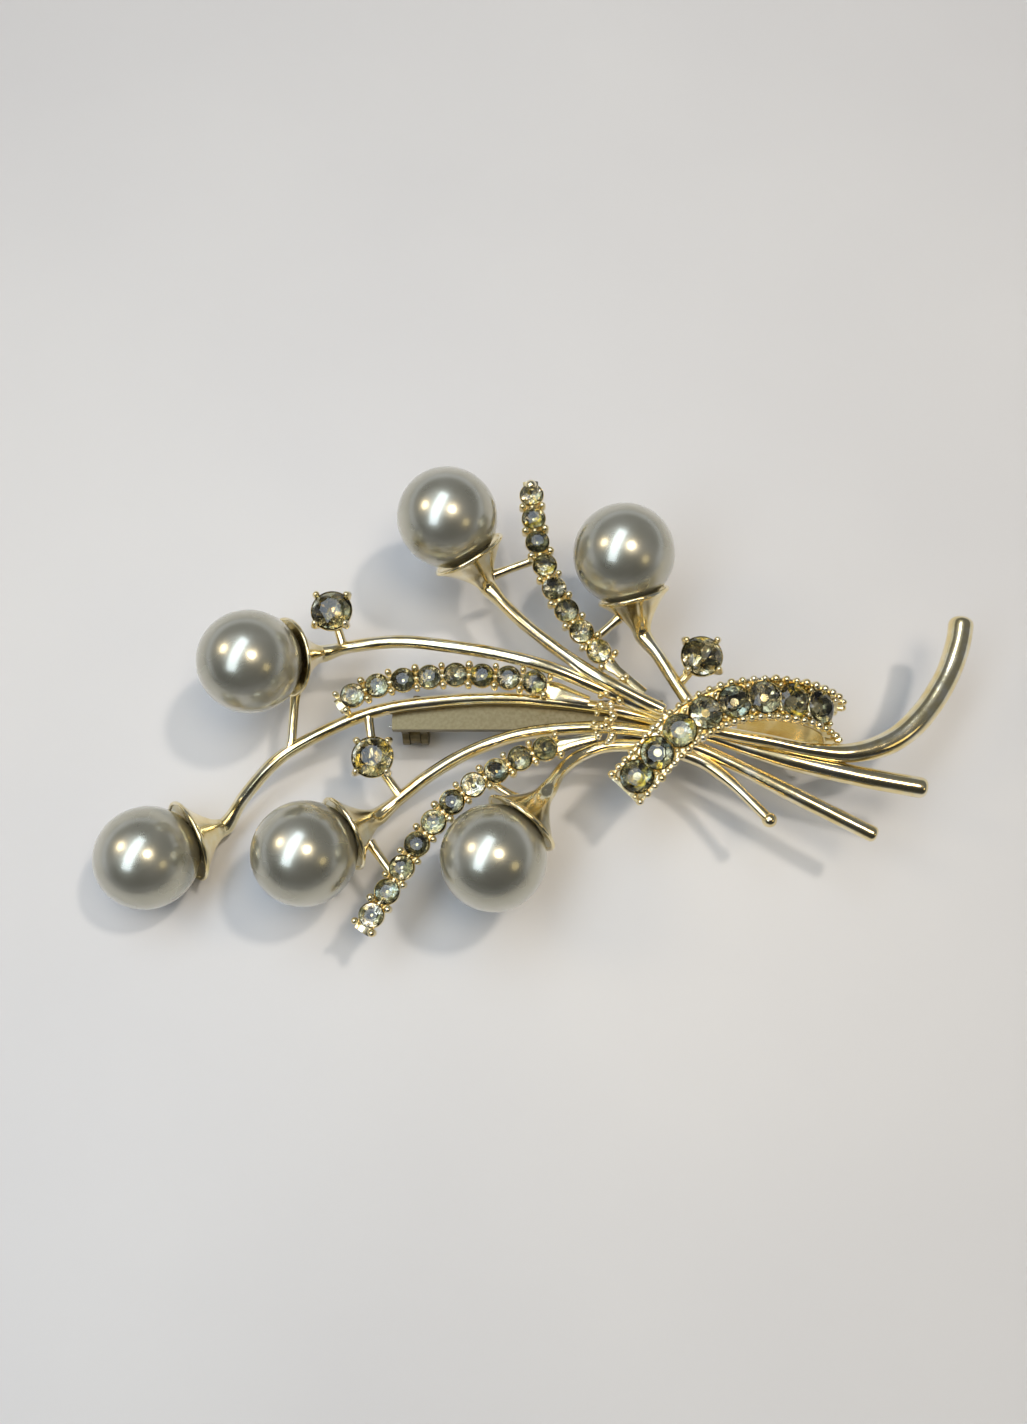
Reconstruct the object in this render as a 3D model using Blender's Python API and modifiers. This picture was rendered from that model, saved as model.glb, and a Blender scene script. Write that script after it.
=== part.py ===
"""Spray brooch: six pearls on wire stems, three stone-set sprigs tied by a stone-set ribbon, and a pin back.

The spray is drawn lying on its back, +Z up, in millimetres turned to metres by MM. Its frame is centred
under the whole brooch, with z = 0 on the surface that it lies on.
"""

import math

import bmesh
import bpy
from mathutils import Matrix, Vector
from mathutils.geometry import interpolate_bezier

MM = 0.001

# Overall sizes: from the centre of pearl 1 to the tip of the long tail, and between the tips of sprigs
# 3 and 1. The drawing below is stretched to them, and wires, pearls and stones keep their own sizes.
SPRAY_LENGTH = 80.1
SPRAY_WIDTH = 45.6
DRAWN_LENGTH = 80.1
DRAWN_WIDTH = 45.6

# Pearls and the cups that hold them
PEARL_RADIUS = 5.0
PEG_RADIUS = 0.45
PEG_LENGTH = 2.6
PEG_CLEARANCE = 0.1
PEARL_CLEARANCE = 0.1
CUP_RIM_WIDTH_SHARE = 0.83
CUP_RIM_DEPTH_SHARE = 0.85
CUP_WALL = 0.4
CUP_REACH = 3.4
CUP_FLARE = 1.5

# Wires
STEM_RADIUS = 0.52
LINK_RADIUS = 0.36
SOLDER_GAP = 0.1

# Stones: diameters, and their heights as shares of the diameter
SPRIG_STONE = 2.0
SPRIG_PITCH = 2.6
RIBBON_STONE = 2.75
RIBBON_PITCH = 3.0
SINGLE_STONE = 3.9
TABLE_SHARE = 0.55
CROWN_SHARE = 0.16
GIRDLE_SHARE = 0.03
PAVILION_SHARE = 0.36
STONE_SIDES = 8
SEAT_CLEARANCE = 0.07

# Settings
SEAT_WALL = 0.16
SEAT_FLOOR = 0.2
CLAW_RADIUS = 0.26
CLAW_HEIGHT = 0.42
RIBBON_EDGE = 0.62
TAPER_WIDTH = 1.1
COLLET_FOOT = 1.1

# Pin back: a bar with two hinge ears and two catch cheeks, a rivet, a pin and a turning lock
BAR_LENGTH = 27.0
BAR_WIDTH = 3.0
BAR_THICKNESS = 1.0
BAR_UNDERSIDE = 5.6
BAR_CENTRE_X = 0.0
BAR_CENTRE_Y = -0.8
PIN_HEIGHT = 1.9
PIN_RADIUS = 0.42
PIN_OVERHANG = 1.6
EYE_RADIUS = 1.2
EYE_WIDTH = 1.2
EAR_HALF_WIDTH = 1.5
EAR_THICKNESS = 0.6
RIVET_RADIUS = 0.4
RIVET_HEAD_RADIUS = 0.8
RIVET_HEAD_THICKNESS = 0.35
RUNNING_CLEARANCE = 0.06
SIDE_CLEARANCE = 0.1
END_MARGIN = 2.0
DRUM_RADIUS = 1.2
DRUM_FLANGE_RADIUS = 1.75
DRUM_FLANGE_LENGTH = 1.0
CHEEK_THICKNESS = 0.7
SLOT_CLEARANCE = 0.15
LEVER_LENGTH = 3.2
LEVER_RADIUS = 0.42

# Six pearls: centre, the heading of the cup's foot in degrees anticlockwise from +X, and its fall
PEARLS = (
    ((-36.9, -14.9, 5.9), 30.0, 28.0),
    ((-26.8, 3.2, 11.5), 22.0, 38.0),
    ((-8.0, 18.0, 12.0), -55.0, 31.0),
    ((9.4, 14.1, 12.0), -74.0, 26.0),
    ((-21.1, -14.9, 9.0), 32.0, 22.0),
    ((-3.3, -15.5, 10.5), 52.0, 8.0),
)

# Six stems, each from its pearl's cup to the knot. Stems 1, 2, 5 and 6 run on through it as the tails.
STEMS = (
    ((-28.8, -7.6, 4.3), (-24.6, -5.0, 5.8), (-19.6, -2.3, 6.8), (-14.7, -0.5, 7.2), (-8.7, 0.4, 7.25),
     (-2.8, 0.7, 7.25), (3.2, 0.3, 7.25), (8.1, -0.4, 7.25), (13.2, -1.7, 7.25), (16.9, -2.8, 7.3),
     (21.2, -4.3, 7.4), (26.4, -5.9, 7.8), (32.0, -7.4, 8.3), (38.1, -8.7, 8.8)),
    ((-17.8, 6.0, 7.6), (-12.8, 6.3, 8.3), (-7.7, 5.6, 8.9), (-2.8, 4.6, 9.4), (1.6, 3.3, 9.7),
     (7.0, 1.2, 9.2), (10.9, -0.4, 8.7), (14.8, -2.0, 8.6), (19.6, -3.3, 8.8), (23.4, -4.1, 9.0),
     (27.2, -4.9, 8.9), (31.1, -5.2, 8.8), (35.0, -4.1, 8.7), (38.1, -1.7, 8.8), (40.9, 2.1, 8.9),
     (42.5, 5.7, 9.0), (43.2, 8.5, 9.0)),
    ((-0.8, 8.5, 8.6), (2.6, 5.3, 9.4), (6.0, 2.6, 10.1), (9.8, 0.4, 10.1), (13.2, -1.3, 9.9)),
    ((13.5, 4.8, 8.7), (14.6, 2.2, 8.8), (15.6, 0.1, 8.7), (16.5, -1.4, 8.7)),
    ((-13.1, -8.7, 5.9), (-9.6, -6.9, 6.7), (-5.7, -4.7, 7.2), (-0.8, -3.0, 7.25), (5.1, -2.3, 7.25),
     (9.1, -2.4, 7.25), (13.0, -3.0, 7.25), (16.8, -4.4, 7.3), (20.8, -6.4, 7.5), (26.1, -9.4, 8.0),
     (29.7, -11.4, 8.3), (33.0, -13.2, 8.5)),
    ((3.4, -6.5, 7.9), (5.3, -5.0, 7.3), (8.0, -4.1, 7.2), (12.9, -4.4, 7.25), (16.8, -5.6, 7.3),
     (19.4, -7.6, 7.6), (21.5, -9.9, 8.0), (23.0, -11.6, 8.3)),
)
# Each tail: the x where it starts to swell, the length of the swell, and the radius at the tip
TAILS = {1: (18.0, 9.0, 0.86), 2: (24.0, 11.0, 0.95), 5: (18.0, 9.0, 0.7), 6: (18.0, 4.0, 0.7)}

# Three sprigs: how many stones, and the line of the stones from the free tip to the bare foot at the knot
SPRIGS = (
    (8, ((0.3, 23.3, 10.1), (0.4, 21.5, 10.1), (0.6, 18.9, 10.1), (1.0, 16.1, 10.1), (1.9, 13.2, 10.0),
         (2.9, 10.7, 9.9), (4.3, 8.3, 9.8), (5.9, 6.1, 9.6), (7.8, 4.1, 9.4), (9.8, 2.3, 9.3), (11.4, 0.9, 9.3))),
    (8, ((-18.8, -0.4, 8.6), (-17.1, 0.7, 8.7), (-14.6, 1.7, 8.8), (-12.1, 2.2, 8.9), (-9.5, 2.5, 8.9),
         (-7.0, 2.7, 8.9), (-4.4, 2.6, 8.9), (-1.9, 2.4, 8.9), (0.7, 1.9, 8.9), (3.1, 1.1, 8.9),
         (6.0, 0.2, 8.9))),
    (10, ((-15.8, -22.1, 7.8), (-14.7, -20.5, 8.0), (-13.2, -18.2, 8.2), (-11.8, -15.9, 8.5),
          (-10.3, -13.6, 8.7), (-8.7, -11.5, 8.8), (-6.9, -9.6, 8.9), (-4.8, -8.0, 9.0), (-2.6, -6.7, 9.0),
          (-0.5, -5.6, 9.0), (1.6, -4.8, 9.0), (4.0, -4.1, 8.9), (6.6, -3.5, 8.9))),
)

# The ribbon: points on its outer face, and the heading of its width there in degrees from +X
RIBBON = (
    ((9.0, -9.0, 9.2), 140.0),
    ((10.4, -7.6, 9.8), 138.0),
    ((12.4, -5.4, 11.0), 134.0),
    ((14.6, -3.4, 11.9), 126.0),
    ((17.2, -1.8, 12.2), 114.0),
    ((19.8, -0.9, 12.2), 102.0),
    ((22.6, -0.5, 12.0), 92.0),
    ((25.6, -0.6, 11.4), 84.0),
    ((28.5, -1.1, 10.2), 78.0),
    ((30.6, -1.9, 8.0), 78.0),
    ((29.8, -2.4, 6.0), 82.0),
    ((27.2, -2.5, 5.1), 88.0),
    ((24.6, -2.4, 5.1), 90.0),
)
RIBBON_STONES = 8
RIBBON_FIRST = 1.9

# Three single stones in collets: centre, and the stems that their links run to, each with the x there
SINGLES = (
    ((-19.5, 9.1, 9.6), ((2, -18.6),)),
    ((-15.1, -5.5, 8.4), ((1, -15.8), (5, -12.4))),
    ((16.9, 4.1, 10.4), ((4, 14.7),)),
)

# Thin links from a sprig to a pearl's cup: stones before the link, pearl
SPRIG_LINKS = {1: ((3, 3), (7, 4)), 3: ((2, 5), (7, 6))}
# Thin link from a stem to a pearl's cup: x on the stem, pearl
STEM_LINKS = {1: ((-24.3, 2),)}
LINK_DEPTH = 0.16
# How far down the cup a link is soldered, as a share of the reach from the pearl to the foot
LINK_HEIGHT_SHARE = 0.35

GOLD = (0.80, 0.60, 0.33)
PEARL = (0.42, 0.40, 0.33)
STONE = (0.20, 0.20, 0.13)
STEEL = (0.62, 0.60, 0.56)

CURVE_STEP = 2.3
STRIP_STEP = 1.6
SPAN_SAMPLES = 14
PEARL_STEPS = 20
CUP_STEPS = 14
ARC_STEP_DEGREES = 22.5


def clear_scene():
    for obj in list(bpy.data.objects):
        bpy.data.objects.remove(obj, do_unlink=True)


def make_material(name, colour, roughness, metallic):
    material = bpy.data.materials.new(name)
    material.use_nodes = True
    shader = material.node_tree.nodes["Principled BSDF"]
    shader.inputs["Base Color"].default_value = (*colour, 1.0)
    shader.inputs["Roughness"].default_value = roughness
    shader.inputs["Metallic"].default_value = metallic
    return material


clear_scene()
scene = bpy.context.scene
brooch = bpy.data.collections.new("brooch")
cutters = bpy.data.collections.new("cutters")
scene.collection.children.link(brooch)
scene.collection.children.link(cutters)
centre = bpy.data.objects.new("brooch_centre", None)
brooch.objects.link(centre)

gold = make_material("gold_plate", GOLD, 0.2, 1.0)
pearl_coat = make_material("pearl_coat", PEARL, 0.2, 0.0)
smoky_glass = make_material("smoky_glass", STONE, 0.05, 0.0)
pin_steel = make_material("pin_steel", STEEL, 0.25, 1.0)


def point(place):
    """A drawn point as metres, stretched to the overall sizes."""
    x, y, z = place
    return Vector((x * SPRAY_LENGTH / DRAWN_LENGTH, y * SPRAY_WIDTH / DRAWN_WIDTH, z)) * MM


def add_object(name, data, material=None, group=brooch):
    obj = bpy.data.objects.new(name, data)
    group.objects.link(obj)
    obj.parent = centre
    if material is not None:
        data.materials.append(material)
    if group is cutters:
        obj.hide_render = True
        obj.display_type = "WIRE"
    return obj


def shade(mesh):
    mesh.shade_smooth()
    mesh.set_sharp_from_angle(angle=math.radians(40))


# Routes


class Route:
    """A smooth line through a few points, read by the distance along it, with a width direction."""

    def __init__(self, places, widths=None):
        self.points = smooth_through(places)
        self.widths = smooth_through(widths) if widths else None
        self.lengths = [0.0]
        for before, after in zip(self.points, self.points[1:]):
            self.lengths.append(self.lengths[-1] + (after - before).length)

    @property
    def length(self):
        return self.lengths[-1]

    def locate(self, distance):
        distance = min(max(distance, 0.0), self.length)
        index = 0
        while index < len(self.points) - 2 and self.lengths[index + 1] < distance:
            index += 1
        span = self.lengths[index + 1] - self.lengths[index]
        return index, (distance - self.lengths[index]) / span

    def at(self, distance):
        index, share = self.locate(distance)
        return self.points[index].lerp(self.points[index + 1], share)

    def heading(self, distance):
        reach = 0.4 * MM
        return (self.at(distance + reach) - self.at(distance - reach)).normalized()

    def frame(self, distance):
        """Matrix whose axes run along the line, across it and outwards, placed on the line."""
        along = self.heading(distance)
        if self.widths:
            index, share = self.locate(distance)
            across = self.widths[index].lerp(self.widths[index + 1], share)
        else:
            across = Vector((-along.y, along.x, 0.0))
        across = (across - along * across.dot(along)).normalized()
        outwards = along.cross(across)
        turn = Matrix((along, across, outwards)).transposed().to_4x4()
        return Matrix.Translation(self.at(distance)) @ turn


def smooth_through(places):
    """Points of a curve that passes through every place, each span turned by its neighbours."""
    ends = [places[0], *places, places[-1]]
    points = [places[0]]
    for before, start, end, after in zip(ends, ends[1:], ends[2:], ends[3:]):
        handle_out = start + (end - before) / 6
        handle_in = end - (after - start) / 6
        points.extend(interpolate_bezier(start, handle_out, handle_in, end, SPAN_SAMPLES)[1:])
    return points


# Shapes


def turned(name, profile, steps, material=None, group=brooch, closed=False):
    """A profile of (radius, height) in millimetres, turned about Z."""
    mesh = bpy.data.meshes.new(name)
    edges = [(i, i + 1) for i in range(len(profile) - 1)]
    if closed:
        edges.append((len(profile) - 1, 0))
    mesh.from_pydata([(radius * MM, 0.0, height * MM) for radius, height in profile], edges, [])
    obj = add_object(name, mesh, material, group)
    screw = obj.modifiers.new("turn", "SCREW")
    screw.steps = steps
    screw.render_steps = steps
    screw.use_merge_vertices = True
    screw.merge_threshold = 0.000001
    return obj


def wire(name, route, radius_at, group=brooch):
    """A round wire along a route. radius_at gives its radius in metres at a distance."""
    curve = bpy.data.curves.new(name, "CURVE")
    curve.dimensions = "3D"
    curve.bevel_depth = MM
    curve.bevel_resolution = 2
    curve.use_fill_caps = True
    count = max(3, round(route.length / (CURVE_STEP * MM)))
    spline = curve.splines.new("POLY")
    spline.points.add(count)
    for index, spot in enumerate(spline.points):
        distance = route.length * index / count
        spot.co = (*route.at(distance), 1.0)
        spot.radius = radius_at(distance) / MM
    return to_mesh(add_object(name, curve, None, group), group)


def to_mesh(obj, group):
    """Replaces a curve object with its welded mesh."""
    bpy.context.view_layer.update()
    graph = bpy.context.evaluated_depsgraph_get()
    mesh = bpy.data.meshes.new_from_object(obj.evaluated_get(graph))
    weld = bmesh.new()
    weld.from_mesh(mesh)
    bmesh.ops.remove_doubles(weld, verts=weld.verts, dist=0.000001)
    bmesh.ops.recalc_face_normals(weld, faces=weld.faces)
    weld.to_mesh(mesh)
    weld.free()
    name = obj.name
    basis = obj.matrix_basis.copy()
    bpy.data.objects.remove(obj, do_unlink=True)
    made = add_object(name, mesh, None, group)
    made.matrix_basis = basis
    return made


def plate(name, outlines, thickness, group=brooch):
    """A flat plate in the XY plane from closed outlines in millimetres, the second a hole in the first."""
    curve = bpy.data.curves.new(name, "CURVE")
    curve.dimensions = "2D"
    curve.fill_mode = "BOTH"
    curve.extrude = thickness / 2 * MM
    for outline in outlines:
        spline = curve.splines.new("POLY")
        spline.points.add(len(outline) - 1)
        for spot, (x, y) in zip(spline.points, outline):
            spot.co = (x * MM, y * MM, 0.0, 1.0)
        spline.use_cyclic_u = True
    return add_object(name, curve, None, group)


def strip(name, route, half_width_at, thickness, material):
    """A band that lies under a route, its outer face on the route, its width set along its length."""
    count = round(route.length / (STRIP_STEP * MM))
    shape = bmesh.new()
    edges = []
    for index in range(count + 1):
        distance = route.length * index / count
        frame = route.frame(distance)
        half = half_width_at(distance)
        edges.append([shape.verts.new(frame @ Vector((0.0, side * half, 0.0))) for side in (-1, 1)])
    for (left, right), (next_left, next_right) in zip(edges, edges[1:]):
        shape.faces.new((left, next_left, next_right, right))
    mesh = bpy.data.meshes.new(name)
    shape.to_mesh(mesh)
    shape.free()
    obj = add_object(name, mesh, material)
    solidify = obj.modifiers.new("thickness", "SOLIDIFY")
    solidify.thickness = thickness * MM
    solidify.offset = -1.0
    solidify.use_even_offset = True
    return obj


def cones(name, places, low_radius, high_radius, low, high, sides):
    """One cutter of equal cones, each standing on a placed frame from height low to high."""
    shape = bmesh.new()
    for frame in places:
        lift = Matrix.Translation((0.0, 0.0, (low + high) / 2 * MM))
        bmesh.ops.create_cone(
            shape,
            cap_ends=True,
            segments=sides,
            radius1=low_radius * MM,
            radius2=high_radius * MM,
            depth=(high - low) * MM,
            matrix=frame @ lift,
        )
    mesh = bpy.data.meshes.new(name)
    shape.to_mesh(mesh)
    shape.free()
    return add_object(name, mesh, None, cutters)


def rods(name, ends, radius, sides=8):
    """One cutter of straight rods between pairs of points in metres."""
    shape = bmesh.new()
    for start, end in ends:
        turn = (end - start).to_track_quat("Z", "Y").to_matrix().to_4x4()
        bmesh.ops.create_cone(
            shape,
            cap_ends=True,
            segments=sides,
            radius1=radius * MM,
            radius2=radius * MM,
            depth=(end - start).length,
            matrix=Matrix.Translation((start + end) / 2) @ turn,
        )
    mesh = bpy.data.meshes.new(name)
    shape.to_mesh(mesh)
    shape.free()
    return add_object(name, mesh, None, cutters)


def combine(obj, other, operation):
    boolean = obj.modifiers.new(operation.lower(), "BOOLEAN")
    boolean.operation = operation
    boolean.object = other
    boolean.solver = "EXACT"


def arc(radius, start, end, centre_y=0.0):
    """Points of an arc in millimetres, from start to end in degrees."""
    count = max(2, math.ceil(abs(end - start) / ARC_STEP_DEGREES))
    angles = [math.radians(start + (end - start) * i / count) for i in range(count + 1)]
    return [(radius * math.cos(angle), centre_y + radius * math.sin(angle)) for angle in angles]


# Pearls and their cups


def aim_down(direction):
    """A turn that points -Z along a direction."""
    return (-direction).to_track_quat("Z", "Y").to_matrix().to_4x4()


def cup_direction(heading, fall):
    """From the pearl's centre towards the foot of its cup."""
    flat = math.cos(math.radians(fall))
    turn = math.radians(heading)
    return Vector((flat * math.cos(turn), flat * math.sin(turn), -math.sin(math.radians(fall))))


def pearl_profile():
    hole = PEG_RADIUS + PEG_CLEARANCE
    lowest = math.degrees(math.asin(hole / PEARL_RADIUS))
    count = PEARL_STEPS // 2
    angles = [math.radians((180.0 - lowest) * i / count) for i in range(count + 1)]
    ball = [(PEARL_RADIUS * math.sin(a), PEARL_RADIUS * math.cos(a)) for a in angles]
    floor = -PEARL_RADIUS + PEG_LENGTH + PEG_CLEARANCE
    return [(0.0, PEARL_RADIUS)] + ball[1:] + [(hole, floor), (0.0, floor)]


def cup_rim():
    """The radius of the cup's rim, and how far the rim is from the pearl's centre."""
    return CUP_RIM_WIDTH_SHARE * PEARL_RADIUS, CUP_RIM_DEPTH_SHARE * PEARL_RADIUS


def cup_foot():
    return PEARL_RADIUS + CUP_REACH


def cup_radius(along):
    """The cup's outer radius at a distance from the pearl's centre, in millimetres."""
    rim_radius, rim_distance = cup_rim()
    share = (along - rim_distance) / (cup_foot() - rim_distance)
    return STEM_RADIUS + (rim_radius - STEM_RADIUS) * (1 - share) ** CUP_FLARE


def cup_anchor(number, start):
    """A point on the side of a pearl's cup that faces the start of a link."""
    place, heading, fall = PEARLS[number - 1]
    direction = cup_direction(heading, fall)
    along = PEARL_RADIUS + LINK_HEIGHT_SHARE * CUP_REACH
    axis = point(place) + direction * along * MM
    side = start - axis
    side = (side - direction * side.dot(direction)).normalized()
    return axis + side * (cup_radius(along) + LINK_RADIUS + SOLDER_GAP) * MM


def cup_profile():
    """A peg, an open dish that the pearl's underside rests in, a thin lip and a flared foot."""
    rim_radius, rim_distance = cup_rim()
    floor = PEARL_RADIUS + PEARL_CLEARANCE
    peg_top = PEG_LENGTH - PEARL_RADIUS
    profile = [(0.0, peg_top), (PEG_RADIUS, peg_top), (PEG_RADIUS, -floor)]
    profile.append((rim_radius - CUP_WALL, -rim_distance))
    profile.append((rim_radius, -rim_distance))
    for share in (0.12, 0.3, 0.55, 0.8, 1.0):
        along = rim_distance + (cup_foot() - rim_distance) * share
        profile.append((cup_radius(along), -along))
    profile.append((0.0, -cup_foot()))
    return profile


def stem_route(number):
    (place, heading, fall), places = PEARLS[number - 1], STEMS[number - 1]
    direction = cup_direction(heading, fall)
    starts = [point(place) + direction * reach * MM for reach in (cup_foot() - CUP_WALL, cup_foot() + CUP_WALL)]
    return Route(starts + [point(p) for p in places])


def stem_point(number, x):
    """The point on a stem's centre line that is nearest to a drawn x."""
    wanted = point((x, 0.0, 0.0)).x
    return min(stem_route(number).points, key=lambda spot: abs(spot.x - wanted))


def stem_radius(number, route):
    """The wire's radius at a distance, with the swell of its tail beyond the knot."""
    if number not in TAILS:
        return lambda distance: STEM_RADIUS * MM
    start_x, swell_length, tip_radius = TAILS[number]
    wanted = point((start_x, 0.0, 0.0)).x
    start = min(d for d, spot in zip(route.lengths, route.points) if spot.x >= wanted)

    def radius(distance):
        share = min(max((distance - start) / (swell_length * MM), 0.0), 1.0)
        swell = share * share * (3 - 2 * share)
        return (STEM_RADIUS + (tip_radius - STEM_RADIUS) * swell) * MM

    return radius


def make_stems_and_pearls():
    for number, (place, heading, fall) in enumerate(PEARLS, start=1):
        stand = Matrix.Translation(point(place)) @ aim_down(cup_direction(heading, fall))
        pearl = turned(f"pearl_{number}", pearl_profile(), PEARL_STEPS, pearl_coat)
        pearl.matrix_basis = stand
        shade(pearl.data)

        cup = turned(f"cup_{number}_shape", cup_profile(), CUP_STEPS, None, cutters)
        cup.matrix_basis = stand
        route = stem_route(number)
        stem = wire(f"stem_{number}", route, stem_radius(number, route))
        stem.data.materials.append(gold)
        combine(stem, cup, "UNION")
        for x, pearl_number in STEM_LINKS.get(number, ()):
            start = stem_point(number, x)
            end = cup_anchor(pearl_number, start)
            combine(stem, rods(f"stem_{number}_link", [(start, end)], LINK_RADIUS), "UNION")
        shade(stem.data)


# Stones and their settings


def stone_profile(diameter):
    radius = diameter / 2
    girdle = GIRDLE_SHARE * diameter
    crown = girdle + CROWN_SHARE * diameter
    return [
        (0.0, crown),
        (TABLE_SHARE * radius, crown),
        (radius, girdle),
        (radius, 0.0),
        (0.0, -PAVILION_SHARE * diameter),
    ]


def add_stone(name, diameter, frame):
    stone = turned(name, stone_profile(diameter), STONE_SIDES, smoky_glass)
    stone.matrix_basis = frame


def seat_cutter(name, frames, diameter):
    """Cones a clearance wider than the stones' lower halves, open above the metal."""
    radius = diameter / 2
    slope = radius / (PAVILION_SHARE * diameter)
    above = 0.3
    tip = 0.05
    low = -(radius + SEAT_CLEARANCE - tip) / slope
    return cones(name, frames, tip, radius + SEAT_CLEARANCE + slope * above, low, above, STONE_SIDES)


def setting_thickness(diameter):
    return PAVILION_SHARE * diameter + SEAT_CLEARANCE + SEAT_FLOOR


def claw_frames(route, first, pitch, count, offset):
    """Pairs of claws between neighbouring stones and past both end stones."""
    frames = []
    for index in range(count + 1):
        frame = route.frame(first + (index - 0.5) * pitch)
        frames += [frame @ Matrix.Translation((0.0, side * offset, 0.0)) for side in (-1, 1)]
    return frames


def make_sprigs():
    half = (SPRIG_STONE / 2 + SEAT_CLEARANCE + SEAT_WALL) * MM
    first = 0.72 * SPRIG_PITCH * MM
    pitch = SPRIG_PITCH * MM
    thickness = setting_thickness(SPRIG_STONE)
    for number, (count, places) in enumerate(SPRIGS, start=1):
        route = Route([point(p) for p in places])
        set_length = first + (count - 0.4) * pitch

        def half_width(distance, full=set_length):
            share = min(max((distance - full) / pitch, 0.0), 1.0)
            return half + (TAPER_WIDTH / 2 * MM - half) * share

        name = f"sprig_{number}"
        rail = strip(name, route, half_width, thickness, gold)
        frames = [route.frame(first + index * pitch) for index in range(count)]
        combine(rail, seat_cutter(f"{name}_seats", frames, SPRIG_STONE), "DIFFERENCE")
        offset = half - CLAW_RADIUS * MM
        claws = claw_frames(route, first, pitch, count, offset)
        low = -0.5 * thickness
        shape = cones(f"{name}_claws", claws, CLAW_RADIUS, 0.8 * CLAW_RADIUS, low, CLAW_HEIGHT, 6)
        combine(rail, shape, "UNION")
        for before, pearl_number in SPRIG_LINKS.get(number, ()):
            under = Vector((0.0, 0.0, -thickness * MM - LINK_DEPTH * MM))
            start = route.frame(first + (before - 0.5) * pitch) @ under
            end = cup_anchor(pearl_number, start)
            combine(rail, rods(f"{name}_link_{pearl_number}", [(start, end)], LINK_RADIUS), "UNION")
        for index, frame in enumerate(frames, start=1):
            add_stone(f"sprig_{number}_stone_{index:02d}", SPRIG_STONE, frame)


def make_ribbon():
    places = [point(place) for place, _ in RIBBON]
    turns = [math.radians(angle) for _, angle in RIBBON]
    route = Route(places, [Vector((math.cos(turn), math.sin(turn), 0.0)) for turn in turns])
    half = (RIBBON_STONE / 2 + RIBBON_EDGE) * MM
    thickness = setting_thickness(RIBBON_STONE)
    band = strip("ribbon", route, lambda distance: half, thickness, gold)
    first = RIBBON_FIRST * MM
    pitch = RIBBON_PITCH * MM
    frames = [route.frame(first + index * pitch) for index in range(RIBBON_STONES)]
    combine(band, seat_cutter("ribbon_seats", frames, RIBBON_STONE), "DIFFERENCE")
    claws = claw_frames(route, first, pitch, RIBBON_STONES, half - CLAW_RADIUS * MM * 1.3)
    low = -0.5 * thickness
    shape = cones("ribbon_claws", claws, CLAW_RADIUS, 0.8 * CLAW_RADIUS, low, CLAW_HEIGHT, 6)
    combine(band, shape, "UNION")
    for index, frame in enumerate(frames, start=1):
        add_stone(f"ribbon_stone_{index}", RIBBON_STONE, frame)


def collet_profile():
    radius = SINGLE_STONE / 2 + SEAT_CLEARANCE
    depth = PAVILION_SHARE * SINGLE_STONE * radius / (SINGLE_STONE / 2)
    return [
        (0.0, -depth),
        (radius, 0.0),
        (radius + SEAT_WALL, 0.0),
        (radius + 0.5 * SEAT_WALL, -0.4 * depth),
        (COLLET_FOOT, -depth - SEAT_FLOOR),
        (0.0, -depth - SEAT_FLOOR),
    ]


def make_singles():
    ring = SINGLE_STONE / 2 + SEAT_CLEARANCE + CLAW_RADIUS
    depth = PAVILION_SHARE * SINGLE_STONE
    for number, (place, targets) in enumerate(SINGLES, start=1):
        spot = point(place)
        stand = Matrix.Translation(spot)
        collet = turned(f"collet_{number}", collet_profile(), STONE_SIDES * 2, gold)
        collet.matrix_basis = stand
        claws = []
        for quarter in range(4):
            turn = Matrix.Rotation(math.radians(45 + 90 * quarter), 4, "Z")
            claws.append(stand @ turn @ Matrix.Translation((ring * MM, 0.0, 0.0)))
        claw_top = (CROWN_SHARE + GIRDLE_SHARE) * SINGLE_STONE
        shape = cones(f"collet_{number}_claws", claws, 0.9 * CLAW_RADIUS, CLAW_RADIUS, -0.3 * depth, claw_top, 6)
        combine(collet, shape, "UNION")
        waist = spot - Vector((0.0, 0.0, 0.85 * depth * MM))
        ends = []
        for stem, x in targets:
            target = stem_point(stem, x)
            heading = (target - waist).normalized()
            stop = (STEM_RADIUS + 0.5 * LINK_RADIUS + SOLDER_GAP) * MM
            ends.append((waist + heading * 0.8 * COLLET_FOOT * MM, target - heading * stop))
        for index, pair in enumerate(ends, start=1):
            combine(collet, rods(f"collet_{number}_link_{index}", [pair], LINK_RADIUS), "UNION")
        add_stone(f"single_stone_{number}", SINGLE_STONE, stand)


# Pin back


def hinge_x():
    return BAR_CENTRE_X + BAR_LENGTH / 2 - END_MARGIN


def catch_x():
    return BAR_CENTRE_X - BAR_LENGTH / 2 + END_MARGIN


def ear_outline():
    top = BAR_UNDERSIDE + BAR_THICKNESS / 2 - PIN_HEIGHT
    foot = arc(EAR_HALF_WIDTH, 180.0, 360.0, EAR_HALF_WIDTH - PIN_HEIGHT)
    return [(-EAR_HALF_WIDTH, top)] + foot + [(EAR_HALF_WIDTH, top)]


def circle(radius):
    return arc(radius, 0.0, 360.0)[:-1]


def slot_half_width():
    return PIN_RADIUS + SLOT_CLEARANCE


def keyhole(radius, half_slot, reach):
    """A round bore with a slot that runs down past the outline."""
    side = math.degrees(math.asin(half_slot / radius)) if half_slot < radius else 90.0
    bore = arc(radius, -90.0 + side, 270.0 - side)
    return [(half_slot, -reach)] + bore + [(-half_slot, -reach)]


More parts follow.
